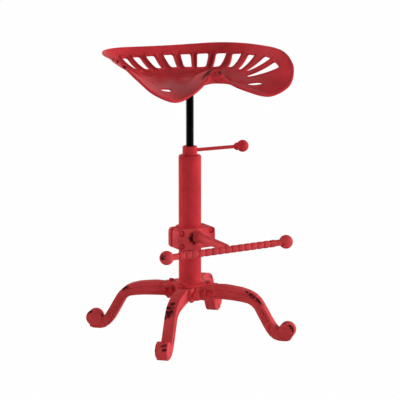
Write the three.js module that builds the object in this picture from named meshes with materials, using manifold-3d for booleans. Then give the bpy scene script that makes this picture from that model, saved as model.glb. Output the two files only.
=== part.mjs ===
// A tractor seat stool in cast and welded metal, in millimetres, +Z up.
// A pierced, dished seat pan turns on a screw in a pipe column; a ball lever locks the screw,
// a bolted clamp carries the footrest, and four cast scroll legs stand round a hub.
// The origin is on the floor on the column's axis; the legs lie along X and Y.
import * as THREE from "three";
import { mergeVertices } from "three/addons/utils/BufferGeometryUtils.js";
import Module from "manifold-3d";

const wasm = await Module();
wasm.setup();

// Clearances and counts shared by all pieces
const clearance = 0.3; // between pieces that touch, slide or screw together
const overrun = 3; // how far a cutter runs past the piece it cuts
const weldTolerance = 0.001; // vertices closer than this are one
const sidesLarge = 24, sidesSmall = 10, sidesHex = 6;

// Column: a 2 inch pipe, its cap and the screw that runs in the cap
const columnDiameter = 50.8, columnWall = 3.4, columnTop = 411;
const capFlange = 5, capSpigot = 30, capEdgeRadius = 3.2;
const screwDiameter = 18;
const screwGrip = 81; // thread left below the cap's top with the seat at rest
const screwStud = 16, screwStudDiameter = 10;
const guideThickness = 6, endNutAcross = 17, endNutHeight = 6;

// Lock nut with its ball lever, on the screw above the cap
const lockNutDiameter = 33, lockNutHeight = 20, lockNutChamfer = 1.6;
const leverReach = 131, leverDiameter = 8, leverSocket = 4.6, leverTurnDeg = 40;
const leverBallDiameter = 27.4, leverBeadDiameter = 17.6, leverBeadReach = 117.5;
const leverBeadSocket = 8;

// Base: legs, hub, plate and their bolts
const legReach = 246, legWidth = 24, legEdge = 2.2, legGroove = 1.6, legRootDrop = 28.7;
const baseHeight = 121; // top of the plate above the floor
const plateSide = 75.8, plateThickness = 4, plateCorner = 13, weldLeg = 5.6;
const scrollRadius = 18.5, scrollWidth = 28, scrollLift = 4.5, scrollInset = 2.5, scrollEdge = 1.6;
const stepClearance = 6; // from the plate's corner to where a leg rises beside it
const hubHalf = 22, hubDepth = 33, cheekThickness = 6, cheekReach = 60;
const hubBossDiameter = 20, padLength = 18;
const plateBoltDiameter = 6, plateBoltAcross = 10, plateBoltHead = 4, plateBoltReach = 40;
const plateBoltGrip = 7;
const legBoltDiameter = 8, legBoltAcross = 13, legBoltHead = 5.3, legBoltNut = 6.5;
const legBoltInner = 38, legBoltOuter = 52, legBoltDrop = 20, boltTail = 2;

// Footrest: split clamp, arm, grooved bar and balls
const footrestTurnDeg = 45, clampHeight = 46, clampCentre = 226, clampSpan = 95;
const clampGap = 7, clampCorner = 10, clampWall = 8, clampWallRear = 7;
const earFront = 27, earRear = 11;
const clampBoltDiameter = 6, clampBoltAcross = 10, clampBoltHead = 4, clampBoltNut = 5;
const clampBoltSpan = 76, clampBoltRise = 30;
const boltSinkDiameter = 14, boltSinkDepth = 6;
const armRise = 5.5, armSocketDiameter = 29, armSocketDepth = 6, armRootDiameter = 20, armInset = 4;
const armDiameter = 18.4, armEndDiameter = 16.6, armShoulder = 6;
const barDiameter = 16.4, barReach = 162.8, barHeight = 227.6, barGrooveDepth = 1.5;
const barNeckDiameter = 14, barNeckLength = 15, barGrooves = 15;
const footBallDiameter = 31, footBallSpan = 302.8, footBallFace = 18, footBallSocket = 8;

// Seat: pan about the screw's axis, front towards -Y before it is turned to its place
const seatTurnDeg = 37.2, seatHalf = 200, floorHeight = 580, rimRise = 65, panThickness = 3.5;
const lipWidth = 4, lipDepth = 6.5, flapFoot = 590, flapLean = 15, ridgeRise = 11;
const bossDiameter = 30, bossDrop = 18.5, bossFlangeDiameter = 48, bossFlange = 4;
const screwInset = 14, pinDiameter = 6, pinDrop = 12;
const slotCornerRadius = 3.5, slotStep = 12, holeLength = 40, holeWidth = 31;

// Seat outline, rim height and steepness of the wall at each 10 degrees from the back (0)
// to the front (180), the same on both sides
const tableStepDeg = 10;
const outlineShares = [0.734, 0.742, 0.772, 0.824, 0.885, 0.932, 0.952, 0.946, 0.941, 0.95, 0.976,
  1.027, 1.094, 1.169, 1.191, 1.076, 0.909, 0.765, 0.745];
const rimShares = [0.897, 0.9, 0.907, 0.919, 0.936, 0.948, 0.956, 0.969, 0.98, 0.993, 0.995, 0.952,
  0.81, 0.526, 0.103, -0.168, 0.001, 0.275, 0.664];
const wallPowers = [3.96, 4.05, 4.22, 4.4, 4.4, 4.1, 3.4, 2.9, 2.7, 2.75, 3, 3.1, 3, 3, 3, 2.5, 2,
  1.6, 1.5];
const ridgeShares = [0, 0, 0, 0, 0, 0, 0, 0, 0, 0, 0, 0, 0, 0.05, 0.2, 0.45, 0.8, 1, 1];
const ringShares = [0.14, 0.3, 0.45, 0.58, 0.7, 0.79, 0.87, 0.94, 1]; // of the way out to the rim
const underReach = 0.97; // the under face's last ring, of the way out to the rim
const seatSpokes = 72;
const flapHalfDeg = 25; // the skirt under the pommel reaches this far each side of the front
const pommelTop = floorHeight + rimRise * rimShares[rimShares.length - 1];
// Slots: angle and width at the outer end, then at the inner end, how far out both ends lie,
// and how round the outer corners are
const slotTable = [
  { outerDeg: 0, innerDeg: 0, outerWide: 23.5, innerWide: 16, outerShare: 0.905, innerShare: 0.7 },
  { outerDeg: 18.2, innerDeg: 19.5, outerWide: 24, innerWide: 18, outerShare: 0.905, innerShare: 0.7 },
  { outerDeg: 32.5, innerDeg: 34.5, outerWide: 25, innerWide: 18, outerShare: 0.905, innerShare: 0.7 },
  { outerDeg: 46.8, innerDeg: 50, outerWide: 25, innerWide: 17, outerShare: 0.9, innerShare: 0.68 },
  { outerDeg: 61, innerDeg: 70, outerWide: 25, innerWide: 13, outerShare: 0.885, innerShare: 0.645 },
  { outerDeg: 78.5, innerDeg: 88.5, outerWide: 24, innerWide: 9, outerShare: 0.88, innerShare: 0.645 },
  { outerDeg: 103.4, innerDeg: 105.5, outerWide: 25, innerWide: 7.5, outerShare: 0.9, innerShare: 0.67 },
  { outerDeg: 120, innerDeg: 124, outerWide: 30, innerWide: 7.5, outerShare: 0.895, innerShare: 0.62 },
];
const holeDeg = 141, holeShare = 0.7;

// Leg outline from hub to floor: upper and lower edges in pairs, then the foot under its scroll,
// as shares of the leg's reach and of the plate's height; the scroll ends scrollInset short
const legUpperShares = [[0.252, 0.987], [0.325, 0.977], [0.394, 0.959], [0.484, 0.934],
  [0.565, 0.888], [0.622, 0.826], [0.663, 0.748], [0.691, 0.665], [0.726, 0.545],
  [0.764, 0.405], [0.801, 0.286]];
const legLowerShares = [[0.252, 0.726], [0.333, 0.721], [0.427, 0.711], [0.496, 0.696],
  [0.557, 0.673], [0.593, 0.632], [0.62, 0.57], [0.64, 0.496], [0.671, 0.38],
  [0.701, 0.269], [0.732, 0.165]];
const footShares = [[0.823, 0.236], [0.85, 0.194], [0.882, 0.174], [0.927, 0.165],
  [0.963, 0.165], [0.951, 0.021]];
const toeShares = [[0.823, 0.024], [0.785, 0.066], [0.758, 0.107]];
const padCentreShare = 0.882, grooveUpperShare = 0.3, grooveLowerShare = 0.82;

// Working radii and heights that several pieces share
const columnRadius = columnDiameter / 2;
const pipeBore = columnRadius - columnWall;
const screwRadius = screwDiameter / 2;
const screwBore = screwRadius + clearance;
const screwFoot = columnTop - screwGrip;
const nutBase = columnTop + clearance;
const leverHeight = nutBase + lockNutHeight / 2;
const plateFloor = baseHeight - plateThickness;
const hubTop = plateFloor - clearance;
const cheekInner = legWidth / 2 + clearance;
const cheekOuter = cheekInner + cheekThickness;
const legRoot = hubHalf + clearance;
const legBoltHeight = baseHeight - legBoltDrop;
const bossTop = floorHeight - panThickness - clearance;
const bossFoot = bossTop - bossDrop;
const clampFloor = clampCentre - clampHeight / 2;

const paint = (color) => new THREE.MeshStandardMaterial({ color, roughness: 0.42, metalness: 0.25 });
const colours = { pan: 0xb3262e, frame: 0xa8222a, cast: 0xa02027, bolt: 0x8c1c22, screw: 0x0b0b0b };

const rad = THREE.MathUtils.degToRad;

// Closed geometry to solid and back
function toSolid(geometry) {
  const bare = geometry.clone();
  bare.deleteAttribute("normal");
  bare.deleteAttribute("uv");
  const merged = mergeVertices(bare, weldTolerance);
  return new wasm.Manifold(new wasm.Mesh({
    numProp: 3,
    vertProperties: merged.attributes.position.array,
    triVerts: new Uint32Array(merged.index.array),
  }));
}

function toGeometry(solid) {
  const faces = solid.getMesh();
  const geometry = new THREE.BufferGeometry();
  geometry.setAttribute("position", new THREE.BufferAttribute(faces.vertProperties, 3));
  geometry.setIndex(new THREE.BufferAttribute(faces.triVerts, 1));
  geometry.computeVertexNormals();
  return geometry;
}

function addMesh(group, name, shape, color) {
  const geometry = shape.isBufferGeometry ? shape : toGeometry(shape);
  const mesh = new THREE.Mesh(geometry, paint(color));
  mesh.name = name;
  group.add(mesh);
  return mesh;
}

// A turned piece about Z from [radius, height] pairs that start and end on the axis or close
function turned(pairs, sides = sidesLarge) {
  const profile = pairs.map(([r, h]) => new THREE.Vector2(r, h));
  return new THREE.LatheGeometry(profile, sides).rotateX(Math.PI / 2);
}

function disc(radius, low, high, sides = sidesLarge) {
  return turned([[0, low], [radius, low], [radius, high], [0, high]], sides);
}

// A tube: outer and inner radius between two heights
function pipe(outer, inner, low, high, sides = sidesLarge) {
  return turned([[inner, low], [outer, low], [outer, high], [inner, high], [inner, low]], sides);
}

// A prism on a closed outline, from height low up to high, its outer edges bevelled
function prism(shape, low, high, bevel = 0, curveSegments = 4) {
  const depth = high - low - 2 * bevel;
  const options = { depth, curveSegments, bevelEnabled: bevel > 0, bevelThickness: bevel,
    bevelSize: bevel, bevelOffset: -bevel, bevelSegments: 1 };
  return new THREE.ExtrudeGeometry(shape, options).translate(0, 0, low + bevel);
}

// A prism whose outline lies in the X-Z plane, centred on Y = middle
function sidePrism(shape, width, middle = 0, bevel = 0, curveSegments = 4) {
  const standing = prism(shape, -width / 2, width / 2, bevel, curveSegments);
  return standing.rotateX(Math.PI / 2).translate(0, middle, 0);
}

// An outline through points with its corners rounded
function roundedOutline(points, radius) {
  const shape = new THREE.Shape();
  points.forEach((point, i) => {
    const before = points[(i + points.length - 1) % points.length];
    const after = points[(i + 1) % points.length];
    const back = Math.min(radius, point.distanceTo(before) / 2);
    const on = Math.min(radius, point.distanceTo(after) / 2);
    const start = point.clone().add(before.clone().sub(point).setLength(back));
    const end = point.clone().add(after.clone().sub(point).setLength(on));
    if (i) shape.lineTo(start.x, start.y);
    else shape.moveTo(start.x, start.y);
    shape.quadraticCurveTo(point.x, point.y, end.x, end.y);
  });
  shape.closePath();
  return shape;
}

function rectangle(halfX, halfY, radius) {
  const corners = [[-halfX, -halfY], [halfX, -halfY], [halfX, halfY], [-halfX, halfY]];
  return roundedOutline(corners.map(([x, y]) => new THREE.Vector2(x, y)), radius);
}

function outlineOf(pairs) {
  return new THREE.Shape(pairs.map(([x, y]) => new THREE.Vector2(x, y)));
}

// A hexagon bolt along Z: head below its seat at height 0, shank up to the end of its grip,
// and a nut that starts at nutAt where the bolt has one
function hexBolt({ diameter, across, head, grip, nutAt = 0, nut = 0 }) {
  const hexRadius = across / Math.sqrt(3);
  let bolt = toSolid(disc(hexRadius, -head, 0, sidesHex));
  bolt = bolt.add(toSolid(disc(diameter / 2, -head / 2, grip, sidesSmall)));
  if (nut > 0) bolt = bolt.add(toSolid(disc(hexRadius, nutAt, nutAt + nut, sidesHex)));
  return toGeometry(bolt);
}

// The seat pan's tables read at any angle from the back, in degrees
function tableReader(shares) {
  const angles = shares.map((_, i) => i * tableStepDeg);
  const curve = new THREE.CubicInterpolant(angles, shares, 1, new Float32Array(1));
  curve.settings = { endingStart: THREE.ZeroSlopeEnding, endingEnd: THREE.ZeroSlopeEnding };
  return (degrees) => curve.evaluate(Math.abs(degrees))[0];
}
const outlineAt = tableReader(outlineShares);
const rimAt = tableReader(rimShares);
const powerAt = tableReader(wallPowers);
const ridgeAt = tableReader(ridgeShares);

// A point of the seat's upper face, by its angle from the back and its share of the way out
function panPoint(degrees, share) {
  const away = Math.min(Math.abs(degrees), 360 - Math.abs(degrees));
  const radius = seatHalf * outlineAt(away) * share;
  const wall = rimRise * rimAt(away) * share ** powerAt(away);
  const rise = wall + ridgeRise * ridgeAt(away) * 4 * share * (1 - share);
  const turn = rad(degrees);
  return new THREE.Vector3(radius * Math.sin(turn), radius * Math.cos(turn), floorHeight + rise);
}

// The face's upward normal there, from its two neighbours
function panNormal(degrees, share) {
  const at = panPoint(degrees, share);
  const out = panPoint(degrees, share + 0.01).sub(at);
  const round = panPoint(degrees + 1, share).sub(at);
  return round.cross(out).normalize();
}

// The pan's section at an angle: over the upper face, round the rolled lip, back underneath
function panSection(degrees) {
  const upper = ringShares.map((share) => panPoint(degrees, share));
  const rim = upper[upper.length - 1];
  const atFront = Math.abs(degrees - 180) < flapHalfDeg;
  const drop = atFront ? Math.max(lipDepth, rim.z - flapFoot) : lipDepth;
  const lean = (flapLean * (drop - lipDepth)) / (pommelTop - flapFoot - lipDepth);
  const turn = rad(degrees);
  const outward = new THREE.Vector3(Math.sin(turn), Math.cos(turn), 0);
  const lip = [[lipWidth * 0.6, lipWidth * 0.15], [lipWidth, lipWidth * 0.7],
    [lipWidth * 0.9 - lean, drop], [-lean, drop]].map(([out, down]) => {
    const point = rim.clone().addScaledVector(outward, out);
    point.z -= down;
    return point;
  });
  const under = ringShares.map((share) => {
    const at = share * underReach;
    return panPoint(degrees, at).addScaledVector(panNormal(degrees, at), -panThickness);
  });
  return [...upper, ...lip, ...under.reverse()];
}

// The dished pan as one closed skin of sections round the screw's axis
function panSkin() {
  const sections = [];
  for (let i = 0; i < seatSpokes; i++) sections.push(panSection((360 * i) / seatSpokes));
  const count = sections[0].length;
  const points = sections.flat();
  const top = points.push(new THREE.Vector3(0, 0, floorHeight)) - 1;
  const bottom = points.push(new THREE.Vector3(0, 0, floorHeight - panThickness)) - 1;
  const faces = [];
  for (let i = 0; i < seatSpokes; i++) {
    const here = i * count;
    const next = ((i + 1) % seatSpokes) * count;
    faces.push(top, next, here, bottom, here + count - 1, next + count - 1);
    for (let k = 0; k + 1 < count; k++) {
      faces.push(here + k, next + k, next + k + 1, here + k, next + k + 1, here + k + 1);
    }
  }
  const skin = new THREE.BufferGeometry().setFromPoints(points);
  skin.setIndex(faces);
  return skin;
}

// The outline's points, with no step longer than slotStep
function finePoints(shape) {
  const coarse = shape.getPoints(3);
  if (coarse[0].distanceTo(coarse[coarse.length - 1]) < weldTolerance) coarse.pop();
  return coarse.flatMap((point, i) => {
    const next = coarse[(i + 1) % coarse.length];
    const steps = Math.max(1, Math.ceil(point.distanceTo(next) / slotStep));
    return Array.from({ length: steps }, (_, k) => point.clone().lerp(next, k / steps));
  });
}

// A punch through the pan at right angles to its face: place gives the angle and the share of
// the way out of each point of the flat outline
function panPunch(shape, place) {
  const flat = finePoints(shape);
  const rings = [overrun, -panThickness - overrun].map((offset) => flat.map((point) => {
    const [degrees, share] = place(point);
    return panPoint(degrees, share).addScaledVector(panNormal(degrees, share), offset);
  }));
  const count = flat.length;
  const faces = [];
  for (const [a, b, c] of THREE.ShapeUtils.triangulateShape(flat, [])) {
    faces.push(a, b, c, count + a, count + c, count + b);
  }
  for (let i = 0; i < count; i++) {
    const next = (i + 1) % count;
    faces.push(i, count + i, count + next, i, count + next, next);
  }
  const punch = new THREE.BufferGeometry().setFromPoints(rings.flat());
  punch.setIndex(faces);
  const solid = toSolid(punch);
  return solid.volume() < 0 ? toSolid(reversed(punch)) : solid;
}

function reversed(geometry) {
  const turnedRound = geometry.clone();
  turnedRound.setIndex(Array.from(geometry.index.array).reverse());
  return turnedRound;
}

// How wide one degree is, at a share of the way out
const degreeWidth = (degrees, share) => rad(seatHalf * outlineAt(degrees) * share);

// A slot, wider at its outer end, drawn with its length along Y and placed on the pan
function slotPunch(slot, side) {
  const { outerDeg, innerDeg, outerWide, innerWide, outerShare, innerShare } = slot;
  const length = seatHalf * outlineAt(outerDeg) * (outerShare - innerShare);
  const corners = [[-innerWide / 2, 0], [innerWide / 2, 0], [outerWide / 2, length],
    [-outerWide / 2, length]].map(([x, y]) => new THREE.Vector2(x, y));
  return panPunch(roundedOutline(corners, slotCornerRadius), (point) => {
    const along = point.y / length;
    const share = THREE.MathUtils.lerp(innerShare, outerShare, along);
    const middle = THREE.MathUtils.lerp(innerDeg, outerDeg, along);
    return [side * (middle + point.x / degreeWidth(middle, share)), share];
  });
}

// A teardrop hole in a thigh lobe, its point towards the middle
function lobeHole(side) {
  const shape = new THREE.Shape();
  shape.moveTo(0, -holeLength * 0.5);
  shape.quadraticCurveTo(holeWidth * 0.72, holeLength * 0.24, 0, holeLength * 0.5);
  shape.quadraticCurveTo(-holeWidth * 0.72, holeLength * 0.24, 0, -holeLength * 0.5);
  const reach = seatHalf * outlineAt(holeDeg);
  return panPunch(shape, (point) => {
    const share = holeShare + point.y / reach;
    return [side * (holeDeg + point.x / degreeWidth(holeDeg, share)), share];
  });
}

function seatPan() {
  let pan = toSolid(panSkin());
  for (const slot of slotTable) {
    for (const side of slot.outerDeg ? [-1, 1] : [1]) pan = pan.subtract(slotPunch(slot, side));
  }
  for (const side of [-1, 1]) pan = pan.subtract(lobeHole(side));
  return pan;
}

// The boss under the pan: a flange against it and a blind socket for the screw
function seatBoss() {
  const socket = bossFoot + screwInset + clearance;
  const boss = toSolid(turned([[screwBore, bossFoot], [bossDiameter / 2, bossFoot],
    [bossDiameter / 2, bossTop - bossFlange], [bossFlangeDiameter / 2, bossTop - bossFlange / 2],
    [bossFlangeDiameter / 2, bossTop], [0, bossTop], [0, socket], [screwBore, socket],
    [screwBore, bossFoot]]));
  return boss.subtract(crossHole(clearance));
}

function crossHole(gap) {
  const length = bossDiameter / 2 + overrun;
  return toSolid(disc(pinDiameter / 2 + gap, -length, length, sidesSmall)
    .rotateX(Math.PI / 2).translate(0, 0, bossTop - pinDrop));
}

function seatScrew() {
  const top = bossFoot + screwInset;
  const screw = toSolid(turned([[0, screwFoot - screwStud], [screwStudDiameter / 2,
    screwFoot - screwStud], [screwStudDiameter / 2, screwFoot], [screwRadius, screwFoot],
  [screwRadius, top], [0, top]]));
  return screw.subtract(crossHole(clearance));
}

function addSeat(group) {
  const seat = new THREE.Group();
  seat.rotation.z = rad(seatTurnDeg);
  group.add(seat);
  addMesh(seat, "seat_pan", seatPan(), colours.pan);
  addMesh(seat, "seat_boss", seatBoss(), colours.pan);
  addMesh(seat, "seat_screw", seatScrew(), colours.screw);
  const half = bossDiameter / 2;
  addMesh(seat, "seat_pin", disc(pinDiameter / 2, -half, half, sidesSmall)
    .rotateX(Math.PI / 2).translate(0, 0, bossTop - pinDrop), colours.bolt);
  const guideTop = screwFoot - clearance;
  const studBore = screwStudDiameter / 2 + clearance;
  const nutTop = guideTop - guideThickness - clearance;
  addMesh(seat, "screw_end_nut", toSolid(disc(endNutAcross / Math.sqrt(3), nutTop - endNutHeight,
    nutTop, sidesHex)).subtract(toSolid(disc(studBore, nutTop - endNutHeight - overrun,
    nutTop + overrun, sidesSmall))), colours.bolt);
  addMesh(group, "screw_guide", pipe(pipeBore - clearance, studBore, guideTop - guideThickness,
    guideTop), colours.screw);
}

function addLock(group) {
  const lock = new THREE.Group();
  lock.rotation.z = rad(leverTurnDeg);
  lock.position.z = leverHeight;
  group.add(lock);
  const half = lockNutHeight / 2;
  const radius = lockNutDiameter / 2;
  const body = toSolid(turned([[screwBore, -half], [radius - lockNutChamfer, -half],
    [radius, lockNutChamfer - half], [radius, half - lockNutChamfer],
    [radius - lockNutChamfer, half], [screwBore, half], [screwBore, -half]]));
  const seatAt = radius - leverSocket;
  const hole = alongX(disc(leverDiameter / 2 + clearance, seatAt, radius + overrun, sidesSmall));
  addMesh(lock, "lock_nut", body.subtract(toSolid(hole)), colours.frame);
  const bead = leverBeadDiameter / 2;
  const beadFace = leverBeadReach - bead * 0.86;
  const rodEnd = beadFace + leverBeadSocket;
  addMesh(lock, "lever_rod", alongX(disc(leverDiameter / 2, seatAt + clearance, rodEnd, sidesSmall)),
    colours.frame);
  addMesh(lock, "lever_ball", alongX(turned(leverBallProfile(beadFace, rodEnd + clearance), 20)),
    colours.frame);
}

// Bead and ball in one profile along the lever, with the blind socket for the rod
function leverBallProfile(face, socketEnd) {
  const bore = leverDiameter / 2 + clearance;
  const bead = leverBeadDiameter / 2;
  const ball = leverBallDiameter / 2;
  const profile = [[0, socketEnd], [bore, socketEnd], [bore, face]];
  const waist = leverReach - ball * 0.78;
  for (const share of [-0.86, -0.5, 0, 0.3]) {
    const height = leverBeadReach + bead * share;
    if (height < waist) profile.push([bead * Math.sqrt(1 - share * share), height]);
  }
  for (const share of [-0.78, -0.5, -0.17, 0.17, 0.5, 0.78, 0.94]) {
    profile.push([ball * Math.sqrt(1 - share * share), leverReach + ball * share]);
  }
  profile.push([0, leverReach + ball]);
  return profile;
}

function alongX(geometry) {
  return geometry.rotateY(Math.PI / 2);
}

function addColumn(group) {
  addMesh(group, "column_tube", pipe(columnRadius, pipeBore, baseHeight + clearance,
    columnTop - capFlange - clearance), colours.frame);
  const flangeFloor = columnTop - capFlange;
  const spigot = pipeBore - clearance;
  const edge = capEdgeRadius;
  addMesh(group, "column_cap", turned([[screwBore, flangeFloor - capSpigot],
    [spigot, flangeFloor - capSpigot], [spigot, flangeFloor], [columnRadius, flangeFloor],
    [columnRadius, columnTop - edge], [columnRadius - edge * 0.3, columnTop - edge * 0.3],
    [columnRadius - edge, columnTop], [screwBore, columnTop],
    [screwBore, flangeFloor - capSpigot]]), colours.frame);
}

// Square plate, corners over the legs, with the weld that holds the column
function basePlate() {
  const half = plateSide / 2;
  let plate = toSolid(prism(rectangle(half, half, plateCorner), plateFloor, baseHeight)
    .rotateZ(Math.PI / 4));
  const foot = columnRadius + clearance;
  const sunk = baseHeight - plateThickness / 2;
  plate = plate.add(toSolid(turned([[foot, sunk], [foot + weldLeg, sunk],
    [foot + weldLeg, baseHeight], [foot, baseHeight + weldLeg], [foot, sunk]])));
  for (let i = 0; i < 4; i++) {
    const hole = disc(plateBoltDiameter / 2 + clearance, plateFloor - overrun,
      baseHeight + overrun, sidesSmall).translate(plateBoltReach, 0, 0).rotateZ((i * Math.PI) / 2);
    plate = plate.subtract(toSolid(hole));
  }
  return plate;
}

// Hub: a block with a pair of cheeks for each leg and a round boss in each corner
function hub() {
  const low = hubTop - hubDepth;
  let block = toSolid(prism(rectangle(hubHalf, hubHalf, clearance), low, hubTop));
  const cheek = (cheekInner + cheekOuter) / 2;
  const bossAt = cheekOuter;
  for (let i = 0; i < 4; i++) {
    const turn = (i * Math.PI) / 2;
    for (const side of [-1, 1]) {
      const outline = outlineOf([[0, low], [cheekReach - legBoltAcross, low], [cheekReach,
        low + legBoltAcross], [cheekReach, hubTop], [0, hubTop]]);
      const plate = sidePrism(outline, cheekThickness, side * cheek).rotateZ(turn);
      block = block.add(toSolid(plate));
    }
    const boss = disc(hubBossDiameter / 2, low, hubTop, sidesSmall);
    block = block.add(toSolid(boss.translate(bossAt, bossAt, 0).rotateZ(turn)));
  }
  for (let i = 0; i < 4; i++) {
    const turn = (i * Math.PI) / 2;
    const slot = prism(rectangle((cheekReach - hubHalf) / 2 + overrun, cheekInner, clearance),
      low - overrun, hubTop + overrun);
    const middle = hubHalf + (cheekReach - hubHalf) / 2 + overrun;
    block = block.subtract(toSolid(slot.translate(middle, 0, 0).rotateZ(turn)));
    block = block.subtract(legBoltHoles(turn));
  }
  return block;
}

// Holes for the two cross bolts of a leg
function legBoltHoles(turn) {
  const reach = cheekOuter + overrun;
  const holes = [legBoltInner, legBoltOuter].map((at) =>
    toSolid(disc(legBoltDiameter / 2 + clearance, -reach, reach, sidesSmall)
      .rotateX(Math.PI / 2).translate(at, 0, legBoltHeight).rotateZ(turn)));
  return holes[0].add(holes[1]);
}

// Leg side view: upper edge out, down at the toe, back along the floor and the lower edge
function legOutline() {
  const place = ([r, h]) => new THREE.Vector2(r * legReach, h * baseHeight);
  const upper = legUpperShares.map(place);
  const step = Math.min(plateSide / Math.SQRT2 + stepClearance, upper[0].x - clearance);
  const pad = padCentreShare * legReach;
  return new THREE.Shape([
    new THREE.Vector2(legRoot, hubTop - legRootDrop),
    new THREE.Vector2(legRoot, hubTop),
    new THREE.Vector2(step, hubTop),
    new THREE.Vector2(step, upper[0].y),
    ...upper, ...footShares.map(place),
    new THREE.Vector2(pad + padLength / 2, 0),
    new THREE.Vector2(pad - padLength / 2, 0),
    ...toeShares.map(place),
    ...legLowerShares.map(place).reverse(),
  ]);
}

// The sunk panel in each face of a leg, following its run
function grooveOutline() {
  const place = ([r, h]) => new THREE.Vector2(r * legReach, h * baseHeight);
  const upper = legUpperShares.map(place);
  const lower = legLowerShares.map(place);
  const between = (share) => upper.map((p, i) => p.clone().lerp(lower[i], share));
  return new THREE.Shape([...between(grooveUpperShare), ...between(grooveLowerShare).reverse()]);
}

// The scroll: a disc wider than the leg, lying across its toe
function scrollDisc() {
  const half = scrollWidth / 2;
  return turned([[0, -half], [scrollRadius - scrollEdge, -half], [scrollRadius, scrollEdge - half],
    [scrollRadius, half - scrollEdge], [scrollRadius - scrollEdge, half], [0, half]])
    .rotateX(Math.PI / 2)
    .translate(legReach - scrollInset - scrollRadius, 0, scrollLift + scrollRadius);
}

function leg() {
  let cast = toSolid(sidePrism(legOutline(), legWidth, 0, legEdge));
  cast = cast.add(toSolid(scrollDisc()));
  const outside = legWidth / 2 + overrun;
  for (const side of [-1, 1]) {
    const depth = overrun + legGroove;
    const middle = side * (outside - depth / 2);
    cast = cast.subtract(toSolid(sidePrism(grooveOutline(), depth, middle)));
  }
  cast = cast.subtract(legBoltHoles(0));
  const blind = disc(plateBoltDiameter / 2 + clearance, hubTop - plateBoltGrip - clearance,
    baseHeight + overrun, sidesSmall).translate(plateBoltReach, 0, 0);
  return cast.subtract(toSolid(blind));
}

function addBase(group) {
  addMesh(group, "base_plate", basePlate(), colours.frame);
  addMesh(group, "base_hub", hub(), colours.cast);
  const legShape = toGeometry(leg());
  const through = 2 * (cheekOuter + clearance);
  ["right", "back", "left", "front"].forEach((where, i) => {
    const side = new THREE.Group();
    side.rotation.z = (i * Math.PI) / 2;
    group.add(side);
    addMesh(side, `leg_${where}`, legShape.clone(), colours.cast);
    const plateBolt = hexBolt({ diameter: plateBoltDiameter, across: plateBoltAcross,
      head: plateBoltHead, grip: plateThickness + clearance + plateBoltGrip });
    const onPlate = addMesh(side, `plate_bolt_${where}`, plateBolt, colours.bolt);
    onPlate.rotation.x = Math.PI;
    onPlate.position.set(plateBoltReach, 0, baseHeight + clearance);
    [["inner", legBoltInner], ["outer", legBoltOuter]].forEach(([end, at]) => {
      const bolt = hexBolt({ diameter: legBoltDiameter, across: legBoltAcross, head: legBoltHead,
        grip: through + legBoltNut + boltTail, nutAt: through, nut: legBoltNut });
      const cross = addMesh(side, `leg_bolt_${where}_${end}`, bolt, colours.bolt);
      cross.rotation.x = -Math.PI / 2;
      cross.position.set(at, -cheekOuter - clearance, legBoltHeight);
    });
  });
}

// One half of the clamp: an ear each side of a round shell, its front corners rounded
function clampHalf(ear, thickness) {
  const wall = columnRadius + thickness;
  const low = -clampHeight / 2;
  const face = clampGap / 2;
  const half = clampSpan / 2;
  let body = toSolid(prism(rectangle(half, ear / 2, clearance), low, -low)
    .translate(0, -face - ear / 2, 0));
  body = body.add(toSolid(disc(wall, low, -low)));
  const front = toSolid(sidePrism(rectangle(half, -low, clampCorner), wall, -face - wall / 2));
  const bore = disc(columnRadius + clearance, low - overrun, overrun - low);
  body = body.intersect(front).subtract(toSolid(bore));
  for (const x of [-1, 1]) {
    for (const z of [-1, 1]) {
      const hole = disc(clampBoltDiameter / 2 + clearance, 0, wall + overrun, sidesSmall)
        .rotateX(Math.PI / 2).translate((x * clampBoltSpan) / 2, 0, (z * clampBoltRise) / 2);
      body = body.subtract(toSolid(hole));
    }
  }
  return body;
}

function clampFront() {
  const face = clampGap / 2 + earFront;
  const sink = disc(boltSinkDiameter / 2, face - boltSinkDepth, face + overrun, sidesSmall);
  let body = clampHalf(earFront, clampWall);
  for (const x of [-1, 1]) {
    for (const z of [-1, 1]) {
      body = body.subtract(toSolid(sink.clone().rotateX(Math.PI / 2)
        .translate((x * clampBoltSpan) / 2, 0, (z * clampBoltRise) / 2)));
    }
  }
  const wall = columnRadius + clampWall;
  const lip = wall + armSocketDepth;
  const collar = disc(armSocketDiameter / 2, columnRadius + clampWall / 2, lip)
    .rotateX(Math.PI / 2).translate(0, 0, armRise);
  const recess = disc(armRootDiameter / 2 + clearance, wall - armInset, lip + overrun)
    .rotateX(Math.PI / 2).translate(0, 0, armRise);
  return body.add(toSolid(collar)).subtract(toSolid(recess));
}

// The arm: a round root in the clamp's collar and a tapering rod, saddled on the footrest bar
function footrestArm() {
  const wall = columnRadius + clampWall;
  const start = wall - armInset + clearance;
  const shoulder = wall + armSocketDepth + armShoulder;
  const root = armRootDiameter / 2;
  const rod = toSolid(turned([[0, start], [root, start], [root, shoulder - armShoulder / 2],
    [armDiameter / 2, shoulder], [armEndDiameter / 2, barReach], [0, barReach]], 20)
    .rotateX(Math.PI / 2).translate(0, 0, armRise));
  const half = footBallSpan / 2;
  const saddle = alongX(disc(barDiameter / 2 + clearance, -half, half, 20))
    .translate(0, -barReach, barHeight - clampCentre);
  return rod.subtract(toSolid(saddle));
}

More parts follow.
